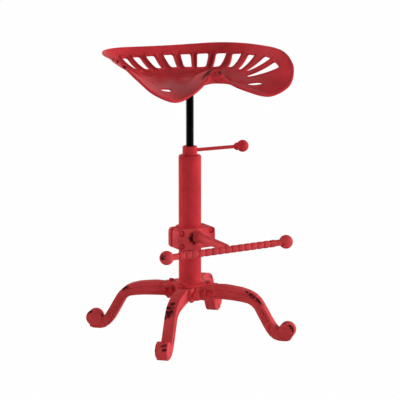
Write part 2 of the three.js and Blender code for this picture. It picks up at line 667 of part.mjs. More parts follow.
// The bar's profile along X: necks at the ends, grooved grip between
function footrestBar() {
  const radius = barDiameter / 2;
  const neck = barNeckDiameter / 2;
  const ballInside = Math.sqrt(footBallDiameter ** 2 - footBallFace ** 2) / 2;
  const end = footBallSpan / 2 - ballInside + footBallSocket - clearance;
  const grip = footBallSpan / 2 - ballInside - barNeckLength;
  const pitch = (2 * grip) / barGrooves;
  const profile = [[0, -end], [neck, -end], [neck, -grip]];
  for (let i = 0; i < barGrooves; i++) {
    const from = -grip + i * pitch;
    if (i) profile.push([radius - barGrooveDepth, from]);
    profile.push([radius, from + pitch * 0.2], [radius, from + pitch * 0.8]);
  }
  profile.push([neck, grip], [neck, end], [0, end]);
  return alongX(turned(profile, 16));
}

// A footrest ball along X, its face and socket towards the bar
function footBall() {
  const radius = footBallDiameter / 2;
  const face = Math.sqrt(footBallDiameter ** 2 - footBallFace ** 2) / 2;
  const bore = barNeckDiameter / 2 + clearance;
  const profile = [[0, footBallSocket - face], [bore, footBallSocket - face], [bore, -face],
    [footBallFace / 2, -face]];
  for (const share of [-0.6, -0.33, 0, 0.33, 0.6, 0.82, 0.95]) {
    profile.push([radius * Math.sqrt(1 - share * share), radius * share]);
  }
  profile.push([0, radius]);
  return alongX(turned(profile, 20));
}

function addFootrest(group) {
  const rest = new THREE.Group();
  rest.rotation.z = rad(footrestTurnDeg);
  rest.position.z = clampCentre;
  group.add(rest);
  addMesh(rest, "clamp_front", clampFront(), colours.frame);
  const rear = toGeometry(clampHalf(earRear, clampWallRear)).rotateZ(Math.PI);
  addMesh(rest, "clamp_rear", rear, colours.frame);
  const headAt = clampGap / 2 + earFront - boltSinkDepth + clearance;
  const grip = headAt + clampGap / 2 + earRear + clearance;
  ["left", "right"].forEach((where, x) => {
    ["low", "high"].forEach((level, z) => {
      const bolt = addMesh(rest, `clamp_bolt_${where}_${level}`, hexBolt({
        diameter: clampBoltDiameter, across: clampBoltAcross, head: clampBoltHead,
        grip: grip + clampBoltNut + boltTail, nutAt: grip, nut: clampBoltNut }), colours.bolt);
      bolt.rotation.x = -Math.PI / 2;
      bolt.position.set((x - 0.5) * clampBoltSpan, -headAt, (z - 0.5) * clampBoltRise);
    });
    const ball = addMesh(rest, `footrest_ball_${where}`, footBall(), colours.frame);
    ball.rotation.z = x ? 0 : Math.PI;
    ball.position.set((x - 0.5) * footBallSpan, -barReach, barHeight - clampCentre);
  });
  addMesh(rest, "footrest_arm", footrestArm(), colours.frame);
  addMesh(rest, "footrest_bar", footrestBar().translate(0, -barReach, barHeight - clampCentre),
    colours.frame);
}

const stool = new THREE.Group();
addBase(stool);
addColumn(stool);
addFootrest(stool);
addLock(stool);
addSeat(stool);
export default stool;
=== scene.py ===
"""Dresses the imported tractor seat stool: a pierced, dished seat on a screw in a pipe column,
with a ball lever, a clamped footrest and four cast scroll legs, in worn red paint.

Lengths in the tables below are in millimetres; MM turns them into Blender's metres.
"""
import math

import bmesh
import bpy
import numpy as np
from mathutils import Matrix, Vector
from mathutils.geometry import delaunay_2d_cdt
from mathutils.kdtree import KDTree


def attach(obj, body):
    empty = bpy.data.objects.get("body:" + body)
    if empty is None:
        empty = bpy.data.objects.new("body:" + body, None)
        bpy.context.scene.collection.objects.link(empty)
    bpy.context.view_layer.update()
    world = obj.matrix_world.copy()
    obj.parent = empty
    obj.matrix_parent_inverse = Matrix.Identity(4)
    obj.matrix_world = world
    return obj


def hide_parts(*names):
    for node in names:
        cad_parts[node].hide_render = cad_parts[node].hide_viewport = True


bl_info = {
    "name": "Tractor Seat Stool",
    "version": (1, 0, 0),
    "blender": (4, 5, 0),
    "location": "3D View > Sidebar > Stool",
    "description": "Models and finishes an adjustable tractor seat stool over its packed frame",
    "category": "Object",
}

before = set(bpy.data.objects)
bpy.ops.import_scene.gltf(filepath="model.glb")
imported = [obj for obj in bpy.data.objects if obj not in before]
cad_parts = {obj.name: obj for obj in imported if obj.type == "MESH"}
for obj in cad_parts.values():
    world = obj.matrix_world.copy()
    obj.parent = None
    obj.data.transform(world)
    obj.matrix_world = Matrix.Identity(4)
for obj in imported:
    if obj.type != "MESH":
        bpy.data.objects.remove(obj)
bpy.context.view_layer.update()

MM = 0.001
QUARTER = math.pi / 2
COLUMN_RADIUS, COLUMN_BORE, COLUMN_FOOT = 25.4, 22, 121.3
SCREW_BORE = 9.4  # of the cap and the lock nut
LEVER_TURN, LEVER_HEIGHT = 40, 421.3  # degrees round the column, height
FOOTREST_TURN, ARM_HEIGHT, BAR_HEIGHT, BAR_REACH = 45, 231.5, 227.6, 162.8
LEG_PLACES = (("right", 0), ("back", 90), ("left", 180), ("front", 270))
SPRAYED, CAST = "sprayed_steel_red_enamel", "cast_iron_red_enamel"
PRESSED = "pressed_steel_red_enamel"

# The seat's outline, rim height, steepness of its wall and ridge behind the pommel, at each
# 10 degrees from the back round to the front, the same on both sides
OUTLINE = [0.734, 0.742, 0.772, 0.824, 0.885, 0.932, 0.952, 0.946, 0.941, 0.95, 0.976, 1.027,
           1.094, 1.169, 1.191, 1.076, 0.909, 0.765, 0.745]
RIM = [0.897, 0.9, 0.907, 0.919, 0.936, 0.948, 0.956, 0.969, 0.98, 0.993, 0.995, 0.952, 0.81,
       0.526, 0.103, -0.168, 0.001, 0.275, 0.664]
STEEPNESS = [3.96, 4.05, 4.22, 4.4, 4.4, 4.1, 3.4, 2.9, 2.7, 2.75, 3, 3.1, 3, 3, 3, 2.5, 2,
             1.6, 1.5]
RIDGE = [0] * 13 + [0.05, 0.2, 0.45, 0.8, 1, 1]
DISC = 200  # radius of the disc that the pan is spread flat on
SPOKES = 300  # points round the pan's rim
# Slots: angle at the outer and inner end (right of the back is positive), width at both ends,
# how far out both ends lie and the share of the full lip
SLOTS = [
    (-118, -121, 33, 14, 0.88, 0.58, 0.15), (-98, -101, 29, 12, 0.895, 0.64, 0.3),
    (-75, -86, 26, 13, 0.875, 0.64, 1), (-58, -65, 24, 15, 0.885, 0.65, 1),
    (-43, -44.6, 21, 14.5, 0.9, 0.67, 1.2), (-31.4, -31.8, 19.5, 14.5, 0.905, 0.685, 1.2),
    (-18.2, -17.4, 21, 14.5, 0.905, 0.685, 1.1), (0.4, 2.2, 23.5, 15.5, 0.905, 0.68, 1),
    (18.2, 20.1, 24, 17, 0.905, 0.68, 1), (33.3, 35, 24, 16.5, 0.905, 0.67, 1),
    (47.8, 50.6, 23, 17.5, 0.9, 0.665, 0.8), (61.6, 71, 28, 19, 0.885, 0.625, 0.5),
    (79.6, 90.8, 29, 15, 0.875, 0.62, 0.5), (101.4, 103, 32, 13, 0.895, 0.645, 0.5),
    (118.2, 119.3, 36, 19, 0.885, 0.585, 0.4),
]
# Where the dish is creased behind the two thigh lobes: angle from the back, share of the way out
CREASES = [
    [(-61.3, 0.457), (-40.7, 0.422), (-25, 0.377), (-6.8, 0.342), (12.4, 0.335), (29.1, 0.364)],
    [(99, 0.424), (115, 0.419), (128.9, 0.436), (134.7, 0.479), (138.7, 0.532), (143.1, 0.61)],
]
# Thigh holes: angle, left and right share of the way out, length, width, share of the lip
THIGH_HOLE = (141, 0.73, 0.665, 40, 31, 0.1)

# A leg's upper and lower edge from hub to foot, as distance out and height
LEG_RUN = [
    ((22.3, 116.7), (22.3, 88)), ((59, 116.7), (59, 87.9)),
    ((66, 117.2), (66, 87.8)), ((80, 117.6), (81.9, 87.2)), ((96.9, 116), (105, 86)),
    ((119.1, 113), (122, 84.2)), ((139, 107.4), (137, 81.4)), ((153, 99.9), (145.9, 76.5)),
    ((163.1, 90.5), (152.5, 69)), ((170, 80.5), (157.4, 60)), ((178.6, 65.9), (165.1, 46)),
    ((187.9, 49), (172.4, 32.5)), ((197, 34.6), (180.1, 20)), ((202.5, 28.5), (187, 11)),
    ((209, 23.5), (197, 3.4)), ((217, 21), (209, 0)), ((228, 20), (226, 0)),
    ((237, 20), (234, 2.6)),
]

# Where the enamel has chipped off a part, as x, y, z and radius in metres; on the clamp they also
# paint the shadow in the gap beside the arm's root
CHIPS_AND_SHADOWS = {
    "seat": [
        (0.067, -0.1066, 0.6114, 0.016), (0.076, -0.1078, 0.6195, 0.02),
        (0.0807, -0.1082, 0.6207, 0.014), (0.098, -0.1135, 0.617, 0.008),
        (-0.1284, -0.156, 0.6403, 0.005), (-0.1136, -0.175, 0.6401, 0.006),
        (-0.0892, -0.2014, 0.6329, 0.006), (0.192, 0.0663, 0.6427, 0.004),
        (0.2025, 0.0546, 0.6402, 0.005)],
    "leg_left": [
        (-0.1545, -0.011, 0.0975, 0.005), (-0.1495, -0.012, 0.1014, 0.006),
        (-0.1455, -0.0096, 0.1039, 0.006), (-0.2344, -0.0132, 0.0379, 0.006),
        (-0.2326, -0.004, 0.0398, 0.006)],
    "leg_front": [
        (0, -0.1433, 0.1051, 0.006), (-0.0004, -0.1542, 0.0988, 0.008),
        (-0.0013, -0.1618, 0.0917, 0.008), (-0.0031, -0.1675, 0.0841, 0.006),
        (-0.0082, -0.1546, 0.0984, 0.008), (-0.0084, -0.1622, 0.0913, 0.007),
        (-0.012, -0.1695, 0.08, 0.005), (-0.0145, -0.2384, 0.0357, 0.006),
        (-0.0145, -0.2428, 0.028, 0.006), (0.0023, -0.2247, 0.0415, 0.005),
        (0.0059, -0.2377, 0.0364, 0.006), (0.0072, -0.2425, 0.0289, 0.005)],
    "leg_right": [
        (0.1349, -0.0111, 0.1086, 0.005), (0.1443, -0.012, 0.103, 0.008),
        (0.1512, -0.012, 0.0977, 0.008), (0.1581, -0.012, 0.0924, 0.007),
        (0.165, -0.012, 0.0859, 0.006), (0.1699, -0.0082, 0.0806, 0.004),
        (0.2357, -0.0146, 0.038, 0.005), (0.2401, -0.0128, 0.0325, 0.006),
        (0.2412, -0.0136, 0.027, 0.004)],
    "leg_back": [(0.012, 0.15, 0.1, 0.007), (-0.012, 0.235, 0.038, 0.006)],
    # the dark C left of the footrest arm's root: chipped enamel with a painted shadow of the gap
    # beside the root
    "clamp_front": [
        (0.0138, -0.0343, 0.2354, 0.006), (0.0136, -0.0345, 0.2289, 0.007),
        (0.0153, -0.0327, 0.2229, 0.007), (0.0187, -0.0293, 0.2185, 0.006)],
    "footrest": [(0.0003, -0.2347, 0.2322, 0.008)],
}


# --- finishes ------------------------------------------------------------------------------

def linear(colour):
    """A hex sRGB colour such as "#B3262E" as linear RGBA."""
    parts = [int(colour[i:i + 2], 16) / 255 for i in (1, 3, 5)]
    return [p / 12.92 if p <= 0.04045 else ((p + 0.055) / 1.055) ** 2.4 for p in parts] + [1]


def add_node(tree, kind, settings=None, values=None, links=None):
    """Adds a shader node with its settings, its inputs' values and what its inputs link to."""
    added = tree.nodes.new("ShaderNode" + kind)
    for name, value in (settings or {}).items():
        setattr(added, name, value)
    for name, value in (values or {}).items():
        added.inputs[name].default_value = value
    for name, source in (links or {}).items():
        tree.links.new(source, added.inputs[name])
    return added


def bare_material(name):
    """An empty node material, its tree and its output's surface, ready for a shader."""
    material = bpy.data.materials.new(name)
    material.use_nodes = True
    tree = material.node_tree
    tree.nodes.clear()
    return material, tree, add_node(tree, "OutputMaterial").inputs["Surface"]


def chipped_and_shaded(tree, spot, chips):
    """Where the enamel is gone, and on the clamp a painted shadow: near a chip's middle, with a
    torn outline.
    """
    nearest = None
    for x, y, z, radius in chips:
        away = add_node(tree, "VectorMath", {"operation": "DISTANCE"}, {1: (x, y, z)}, {0: spot})
        share = add_node(tree, "Math", {"operation": "DIVIDE"}, {1: radius},
                         {0: away.outputs["Value"]}).outputs[0]
        nearest = share if nearest is None else add_node(
            tree, "Math", {"operation": "MINIMUM"}, links={0: nearest, 1: share}).outputs[0]
    # the outlines are torn by 8 mm patches and by 1.6 mm flakes
    torn = add_node(tree, "TexNoise", values={"Scale": 125, "Detail": 2, "Distortion": 0.6},
                    links={"Vector": spot})
    flakes = add_node(tree, "TexNoise", values={"Scale": 620, "Detail": 3, "Roughness": 0.7},
                      links={"Vector": spot})
    ragged = add_node(tree, "Math", {"operation": "MULTIPLY_ADD"}, {1: 2.6},
                      {0: torn.outputs["Fac"], 2: nearest})
    ragged = add_node(tree, "Math", {"operation": "ADD"},
                      links={0: flakes.outputs["Fac"], 1: ragged.outputs[0]})
    return add_node(tree, "MapRange", {"interpolation_type": "SMOOTHSTEP"},
                    {"From Min": 3.1, "From Max": 2.1}, {"Value": ragged.outputs[0]}).outputs[0]


def red_enamel(name, cast, chips):
    """Red enamel, sprayed over steel or over a sand casting and rubbed through in places.

    It is a semi-gloss paint a tenth of a millimetre thick: a soft, slightly streaky red with an
    orange-peel surface, and where it has chipped, near-black oxidised metal just below it.
    """
    look = bpy.context.scene.stool_finish
    material, tree, surface = bare_material(name)
    spot = add_node(tree, "TexCoord").outputs["Object"]
    smooth, colours = {"interpolation_type": "SMOOTHSTEP"}, {"data_type": "RGBA"}
    # uneven spray: patches of about 45 mm, with finer blotches in them
    spray = add_node(tree, "TexNoise", values={"Scale": 22, "Detail": 4, "Roughness": 0.6},
                     links={"Vector": spot}).outputs["Fac"]
    paint = add_node(tree, "ValToRGB", links={"Fac": spray})
    tone = linear(look.cast_colour if cast else look.paint_colour)
    for stop, position, share in zip(paint.color_ramp.elements, (0.3, 0.72), (0.83, 1.15)):
        stop.position, stop.color = position, [part * share for part in tone[:3]] + [1]
    # rubbed edges: convex places, broken up by 5 mm noise
    rub = add_node(tree, "TexNoise", values={"Scale": 190, "Detail": 5, "Roughness": 0.65},
                   links={"Vector": spot}).outputs["Fac"]
    convex = add_node(tree, "NewGeometry").outputs["Pointiness"]
    edge = add_node(tree, "Math", {"operation": "MULTIPLY"}, links={0: convex, 1: rub})
    worn = add_node(tree, "MapRange", smooth,
                    {"From Min": 0.46, "From Max": 0.54, "To Max": look.edge_wear},
                    {"Value": edge.outputs[0]}).outputs[0]
    # chips, which on the clamp also paint the shadow beside the arm's root
    if chips:
        worn = add_node(tree, "Math", {"operation": "MAXIMUM"},
                        links={0: worn, 1: chipped_and_shaded(tree, spot, chips)}).outputs[0]
    # dark wax and painted shade in the recesses, which are the concave places: their colour is
    # darkened where less light reaches
    recess = add_node(tree, "MapRange", smooth,
                      {"From Min": 0.485, "From Max": 0.44, "To Max": look.recess_wax_and_shade},
                      {"Value": convex})
    waxed_and_shaded = add_node(tree, "Mix", colours, {7: linear(look.wax_and_shade_colour)},
                     {0: recess.outputs[0], 6: paint.outputs["Color"]})
    metal = add_node(tree, "Mix", colours,
                     {6: linear(look.chip_dark), 7: linear(look.chip_light)}, {0: rub})
    colour = add_node(tree, "Mix", colours,
                      links={0: worn, 6: waxed_and_shaded.outputs[2], 7: metal.outputs[2]})
    # semi-gloss, duller on the castings, and matt where the metal is bare
    dull = look.roughness + (0.12 if cast else 0)
    gloss = add_node(tree, "MapRange", values={"To Min": dull - 0.05, "To Max": dull + 0.1},
                     links={"Value": spray})
    rough = add_node(tree, "MapRange", values={"To Max": 0.62},
                     links={"Value": worn, "To Min": gloss.outputs[0]})
    # orange peel of 1.5 mm on steel, 3 mm sand grain on the castings, and sunk chips
    grain = add_node(tree, "TexNoise", values={"Scale": 330 if cast else 650, "Detail": 3},
                     links={"Vector": spot})
    peel = add_node(tree, "Bump", values={"Strength": 0.15 if cast else 0.12,
                                          "Distance": 0.0004 if cast else 0.0002},
                    links={"Height": grain.outputs["Fac"]})
    sunk = add_node(tree, "Bump", {"invert": True}, {"Strength": 0.6, "Distance": 0.0004},
                    {"Height": worn, "Normal": peel.outputs["Normal"]})
    # the real paint is dusty and shows hardly any highlight
    shader = add_node(tree, "BsdfPrincipled", values={"Specular IOR Level": 0.012},
                      links={"Base Color": colour.outputs[2], "Roughness": rough.outputs[0],
                             "Normal": sunk.outputs["Normal"]})
    tree.links.new(shader.outputs["BSDF"], surface)
    return material


def finish(kind, part=""):
    """A kind of enamel, made once and then shared, or with the chips of one part, which on the
    clamp include a painted shadow.
    """
    name = f"{kind}_{part}" if part else kind
    return bpy.data.materials.get(name) or red_enamel(name, kind == CAST, CHIPS_AND_SHADOWS.get(part, ()))


def black_oxide(name):
    """Black oxide steel, turned and dipped hot, then oiled: a deep black, barely shiny metal."""
    look = bpy.context.scene.stool_finish
    material, tree, surface = bare_material(name)
    # oil and handling marks about 12 mm across
    marks = add_node(tree, "TexNoise", values={"Scale": 85, "Detail": 4},
                     links={"Vector": add_node(tree, "TexCoord").outputs["Object"]})
    tone = add_node(tree, "ValToRGB", links={"Fac": marks.outputs["Fac"]})
    tone.color_ramp.elements[0].color = linear(look.screw_colour)
    tone.color_ramp.elements[1].color = linear(look.screw_sheen)
    gloss = add_node(tree, "MapRange", values={"To Min": 0.42, "To Max": 0.6},
                     links={"Value": marks.outputs["Fac"]})
    shader = add_node(tree, "BsdfPrincipled", values={"Metallic": 1},
                      links={"Base Color": tone.outputs["Color"], "Roughness": gloss.outputs[0]})
    tree.links.new(shader.outputs["BSDF"], surface)
    return material


def background_rays(tree):
    """1 for rays that show the background: from the camera, reflected or let through."""
    ray = add_node(tree, "LightPath").outputs
    shown = ray["Is Camera Ray"]
    for kind in ("Is Glossy Ray", "Is Transmission Ray"):
        shown = add_node(tree, "Math", {"operation": "MAXIMUM"},
                         links={0: shown, 1: ray[kind]}).outputs[0]
    return shown


def studio_white(name):
    """White paper sweep: the camera sees it plain white, and it still takes soft shadows."""
    stage = bpy.context.scene.stool_stage
    material, tree, surface = bare_material(name)
    share = add_node(tree, "Math", {"operation": "MULTIPLY"}, {1: 1 - stage.shadow},
                     {0: background_rays(tree)})
    paper = add_node(tree, "BsdfDiffuse", values={"Color": linear(stage.paper_colour)})
    glow = add_node(tree, "Emission", values={"Strength": 1})
    mixed = add_node(tree, "MixShader", links={
        0: share.outputs[0], 1: paper.outputs["BSDF"], 2: glow.outputs["Emission"]})
    tree.links.new(mixed.outputs["Shader"], surface)
    return material


# --- modelling by hand ---------------------------------------------------------------------

def edit():
    """Opens the active piece in edit mode with all of it selected."""
    bpy.ops.object.mode_set(mode="EDIT")
    bpy.ops.mesh.select_mode(type="VERT")
    bpy.ops.mesh.select_all(action="SELECT")


def face_outwards():
    """Turns all faces of the piece in edit mode outwards."""
    bpy.ops.mesh.select_all(action="SELECT")
    bpy.ops.mesh.normals_make_consistent(inside=False)


def leave():
    """Leaves edit mode."""
    bpy.ops.object.mode_set(mode="OBJECT")


def begin(primitive, **sizes):
    """Adds a primitive with nothing else selected and opens it in edit mode."""
    bpy.ops.object.select_all(action="DESELECT")
    primitive(**sizes)
    edit()
    return bpy.context.object


def choose(*pieces):
    """Selects only these pieces; the first becomes the active one."""
    bpy.ops.object.select_all(action="DESELECT")
    for piece in pieces:
        piece.select_set(True)
    bpy.context.view_layer.objects.active = pieces[0]


def pick(kind, test):
    """In edit mode, selects the edges or faces whose element and middle pass a test."""
    bpy.ops.mesh.select_mode(type=kind)
    bpy.ops.mesh.select_all(action="DESELECT")
    mesh = bmesh.from_edit_mesh(bpy.context.object.data)
    world = bpy.context.object.matrix_world
    for element in {"EDGE": mesh.edges, "FACE": mesh.faces}[kind]:
        middle = world @ (sum((v.co for v in element.verts), Vector()) / len(element.verts))
        if test(element, middle / MM):
            element.select_set(True)
    mesh.select_flush_mode()
    bmesh.update_edit_mesh(bpy.context.object.data)


def turn(pairs, sides=48, hollow=False):
    """A turned piece about Z: a ring is extruded and scaled through [radius, height] pairs.

    A hollow one is bridged from its last ring to its first; others are capped at both ends.
    """
    radius, height = pairs[0]
    piece = begin(bpy.ops.mesh.primitive_circle_add, vertices=sides, radius=radius * MM,
                  location=(0, 0, height * MM))
    for next_radius, next_height in pairs[1:]:
        bpy.ops.mesh.extrude_region_move(
            TRANSFORM_OT_translate={"value": (0, 0, (next_height - height) * MM)})
        grow = next_radius / radius
        if abs(grow - 1) > 1e-6:
            bpy.ops.transform.resize(value=(grow, grow, 1),
                                     center_override=(0, 0, next_height * MM))
        radius, height = next_radius, next_height
    if hollow:
        pick("EDGE", lambda edge, middle: edge.is_boundary)
        bpy.ops.mesh.bridge_edge_loops()
    else:
        for end in (pairs[0][1], pairs[-1][1]):
            pick("EDGE", lambda edge, middle: edge.is_boundary and abs(middle.z - end) < 1e-3)
            bpy.ops.mesh.edge_face_add()
    face_outwards()
    leave()
    bpy.ops.object.transform_apply(location=True, rotation=True, scale=True)
    return piece


def arc(radius, middle, degrees):
    """Pairs for turn that round a ball about Z, at angles from its lower pole."""
    return [(radius * math.sin(math.radians(t)), middle - radius * math.cos(math.radians(t)))
            for t in degrees]


def place(piece, matrix):
    """Puts a piece where a matrix says and applies that, so that its object is at the origin."""
    choose(piece)
    piece.matrix_world = matrix @ piece.matrix_world
    bpy.ops.object.transform_apply(location=True, rotation=True, scale=True)
    return piece


def copied(pattern, name, matrix=Matrix.Identity(4)):
    """A copy of a piece, with its own mesh, where a matrix says."""
    piece = bpy.data.objects.new(name, pattern.data.copy())
    bpy.context.scene.collection.objects.link(piece)
    return place(piece, matrix)


def join(*pieces):
    """Joins finished parts of one piece into the first of them."""
    choose(*pieces)
    bpy.ops.object.join()
    return pieces[0]


def apply_modifier(piece, kind, **settings):
    """Adds a modifier with its settings and applies it."""
    choose(piece)
    modifier = piece.modifiers.new(kind.title(), kind)
    for name, value in settings.items():
        setattr(modifier, name, value)
    bpy.ops.object.modifier_apply(modifier=modifier.name)


def bevel(piece, width, segments=3, angle=35):
    """Rounds the sharp edges of a piece by a width in millimetres."""
    apply_modifier(piece, "BEVEL", width=width * MM, segments=segments, limit_method="ANGLE",
                   angle_limit=math.radians(angle), use_clamp_overlap=True)


def hand_over(piece, name, body, nodes, material, angle=40):
    """Smooths and names a piece, gives it its finish and hands it to the frame."""
    place(piece, Matrix.Identity(4))
    bpy.ops.object.shade_smooth_by_angle(angle=math.radians(angle))
    piece.name = piece.data.name = name
    piece.data.materials.clear()
    piece.data.materials.append(material)
    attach(piece, body)
    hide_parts(*nodes)


def softened(node, width):
    """A copy of a casting from the frame, merged and cleaned, with its edges rounded."""
    piece = copied(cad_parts[node], node + "_copy")
    edit()
    bpy.ops.mesh.customdata_custom_splitnormals_clear()
    bpy.ops.mesh.remove_doubles(threshold=0.00002)
    bpy.ops.mesh.dissolve_limited(angle_limit=math.radians(0.8))
    leave()
    bevel(piece, width, 2, 30)
    return piece


def turned_to(degrees, offset=(0, 0, 0)):
    """A turn about Z in degrees after a move in millimetres."""
    return Matrix.Rotation(math.radians(degrees), 4, "Z") @ Matrix.Translation(Vector(offset) * MM)


# --- the seat's skin -----------------------------------------------------------------------

def read_table(table, degrees):
    """Reads a ten-degree table smoothly at angles from the back."""
    steps = np.abs(degrees) / 10
    first = np.clip(np.floor(steps).astype(int), 0, len(table) - 2)
    t = steps - first
    padded = np.array([table[1], *table, table[-2]])
    a, b, c, d = (padded[first + i] for i in range(4))
    return 0.5 * (2 * b + (c - a) * t + (2 * a - 5 * b + 4 * c - d) * t ** 2
                  + (3 * b - a - 3 * c + d) * t ** 3)


def pan_points(degrees, share):
    """Points of the seat's upper face in millimetres, at angles and shares of the way out."""
    seat = bpy.context.scene.stool_seat
    degrees, share = np.broadcast_arrays(np.asarray(degrees, float), np.asarray(share, float))
    away = np.abs((degrees + 180) % 360 - 180)
    radius = seat.half_width / MM * read_table(OUTLINE, away) * share
    wall = seat.rim_rise / MM * read_table(RIM, away) * share ** read_table(STEEPNESS, away)
    rise = wall + seat.ridge_rise / MM * read_table(RIDGE, away) * 4 * share * (1 - share)
    turned = np.radians(degrees)
    return np.stack([radius * np.sin(turned), radius * np.cos(turned),
                     seat.floor_height / MM + rise], axis=-1)


def pan_normals(degrees, share):
    """The upper face's upward normals there."""
    close, step = 0.01, 0.002  # nearest that shares come to the middle, how far it looks around
    centre = share < close * 1.2
    share = np.maximum(share, close)
    outward = pan_points(degrees, share + step) - pan_points(degrees, share - step)
    along = pan_points(degrees + 0.2, share) - pan_points(degrees - 0.2, share)
    normal = np.cross(along, outward)
    normal /= np.linalg.norm(normal, axis=-1, keepdims=True)
    normal[centre] = (0, 0, 1)
    return normal


def on_disc(degrees, share):
    """Where angles and shares of the way out lie on the pan spread flat."""
    turned = np.radians(degrees)
    return np.stack([np.sin(turned), np.cos(turned)], 1) * np.reshape(share, (-1, 1)) * DISC


def rounded(corners, radius, step=2.5):
    """A closed outline through corners, rounded, with its points at most a step apart."""
    points = []
    for i, corner in enumerate(corners):
        before, after = np.array(corners[i - 1]), np.array(corners[(i + 1) % len(corners)])
        corner = np.array(corner, float)
        back = corner + (before - corner) * min(radius / np.linalg.norm(before - corner), 0.5)
        on = corner + (after - corner) * min(radius / np.linalg.norm(after - corner), 0.5)
        for t in np.linspace(0, 1, 6):
            points.append((1 - t) ** 2 * back + 2 * t * (1 - t) * corner + t ** 2 * on)
    dense = []
    for i, point in enumerate(points):
        after = points[(i + 1) % len(points)]
        steps = max(1, math.ceil(np.linalg.norm(after - point) / step))
        if np.linalg.norm(after - point) > 1e-6:
            dense += [point + (after - point) * k / steps for k in range(steps)]
    return np.array(dense)


def grown(outline, distance):
    """The outline moved outwards by a distance along its own normals."""
    along = np.roll(outline, -1, 0) - np.roll(outline, 1, 0)
    normal = np.stack([along[:, 1], -along[:, 0]], 1)
    return outline + normal / np.linalg.norm(normal, axis=1, keepdims=True) * distance


def openings():
    """Each opening's flat outline, the function that lays it on the pan, and its lip's share."""
    half_width = bpy.context.scene.stool_seat.half_width / MM
    found = []
    for outer_deg, inner_deg, outer_wide, inner_wide, outer_share, inner_share, lip in SLOTS:
        reach = half_width * read_table(OUTLINE, np.array([abs(float(outer_deg))]))[0]
        length = reach * (outer_share - inner_share)
        flat = rounded([(-inner_wide / 2, 0), (inner_wide / 2, 0), (outer_wide / 2, length),
                        (-outer_wide / 2, length)], 4.2)

        def lay(points, length=length, ends=(inner_deg, outer_deg, inner_share, outer_share)):
            along = points[:, 1] / length
            share = ends[2] + (ends[3] - ends[2]) * along
            middle = ends[0] + (ends[1] - ends[0]) * along
            wide = np.radians(half_width * read_table(OUTLINE, np.abs(middle)) * share)
            return middle + points[:, 0] / wide, share
        found.append((flat, lay, lip))
    degrees, left_share, right_share, long, wide, lip = THIGH_HOLE
    reach = half_width * read_table(OUTLINE, np.array([float(degrees)]))[0]
    # an egg shape from two curves, each from one end over a bulge to the other
    flat = []
    for start, bulge, end in (((0, -0.5), (0.72, 0.24), (0, 0.5)),
                              ((0, 0.5), (-0.72, 0.24), (0, -0.5))):
        start, bulge, end = np.array(start), np.array(bulge), np.array(end)
        flat += [((1 - t) ** 2 * start + 2 * t * (1 - t) * bulge + t ** 2 * end) * (wide, long)
                 for t in np.linspace(0, 1, 14)[:-1]]
    for side, share in ((-1, left_share), (1, right_share)):
        def lay_hole(points, side=side, share=share):
            out = share + points[:, 1] / reach
            return side * (degrees + points[:, 0] / np.radians(reach * out)), out
        found.append((np.array(flat), lay_hole, lip))
    return found


def inside(points, outline):
    """Which flat points lie inside a closed outline."""
    x, y = points[:, 0], points[:, 1]
    odd = np.zeros(len(points), bool)
    for (ax, ay), (bx, by) in zip(outline, np.roll(outline, -1, 0)):
        crosses = (ay > y) != (by > y)
        with np.errstate(divide="ignore", invalid="ignore"):
            odd ^= crosses & (x < (bx - ax) * (y - ay) / (by - ay) + ax)
    return odd


def flat_pan():
    """The pan spread flat: its points, how far lips raise them, triangles, rim and openings."""
    seat = bpy.context.scene.stool_seat
    points, raised, edges, loops, walls = [], [], [], [], []

    def add_ring(ring, lift):
        first, count = len(points), len(ring)
        points.extend(ring)
        raised.extend([lift] * count)
        edges.extend((first + i, first + (i + 1) % count) for i in range(count))
        return list(range(first, first + count))

    for share in (1, 0.985, 0.968, 0.945):
        add_ring(on_disc(np.arange(SPOKES) * 360 / SPOKES, share), 0)
    # each lip's profile: distance from the opening's edge, share of the full height
    profile = ((0, -0.4), (0.5, 0.3), (1.4, 0.9), (2.6, 1), (4.2, 0.35), (5.7, 0))
    for flat, lay, lip_share in openings():
        for distance, lift in profile:
            ring = on_disc(*lay(grown(flat, distance)))
            loop = add_ring(ring, lift * seat.slot_lip / MM * lip_share)
            if distance == 0:
                loops.append(loop)
                walls.append(ring)
    near = KDTree(len(points))
    for i, (x, y) in enumerate(points):
        near.insert((x, y, 0), i)
    near.balance()
    # a triangular grid between the rings
    pitch = seat.skin_pitch / MM
    inner = []
    for row, y in enumerate(np.arange(-DISC, DISC, pitch * 0.866)):
        for x in np.arange(-DISC + (row % 2) * pitch / 2, DISC, pitch):
            if math.hypot(x, y) < DISC - 13 and near.find((x, y, 0))[2] > pitch * 0.62:
                inner.append((x, y))
    raised += [0] * len(inner)
    kept, _, faces, origins, _, _ = delaunay_2d_cdt([Vector(p) for p in points + inner], edges,
                                                    [], 0, 1e-5)
    if not all(origins):
        raise RuntimeError("the lips of two openings cross")
    kept = np.array([tuple(p) for p in kept])
    faces = np.array([face for face in faces if len(face) == 3])
    centres = kept[faces].mean(1)
    solid = ~np.any([inside(centres, wall) for wall in walls], axis=0)
    back = {original: i for i, group in enumerate(origins) for original in group}
    loops = [[back[i] for i in loop] for loop in loops]
    lifts = np.array([raised[group[0]] for group in origins])
    return kept, lifts, faces[solid], [back[i] for i in range(SPOKES)], loops


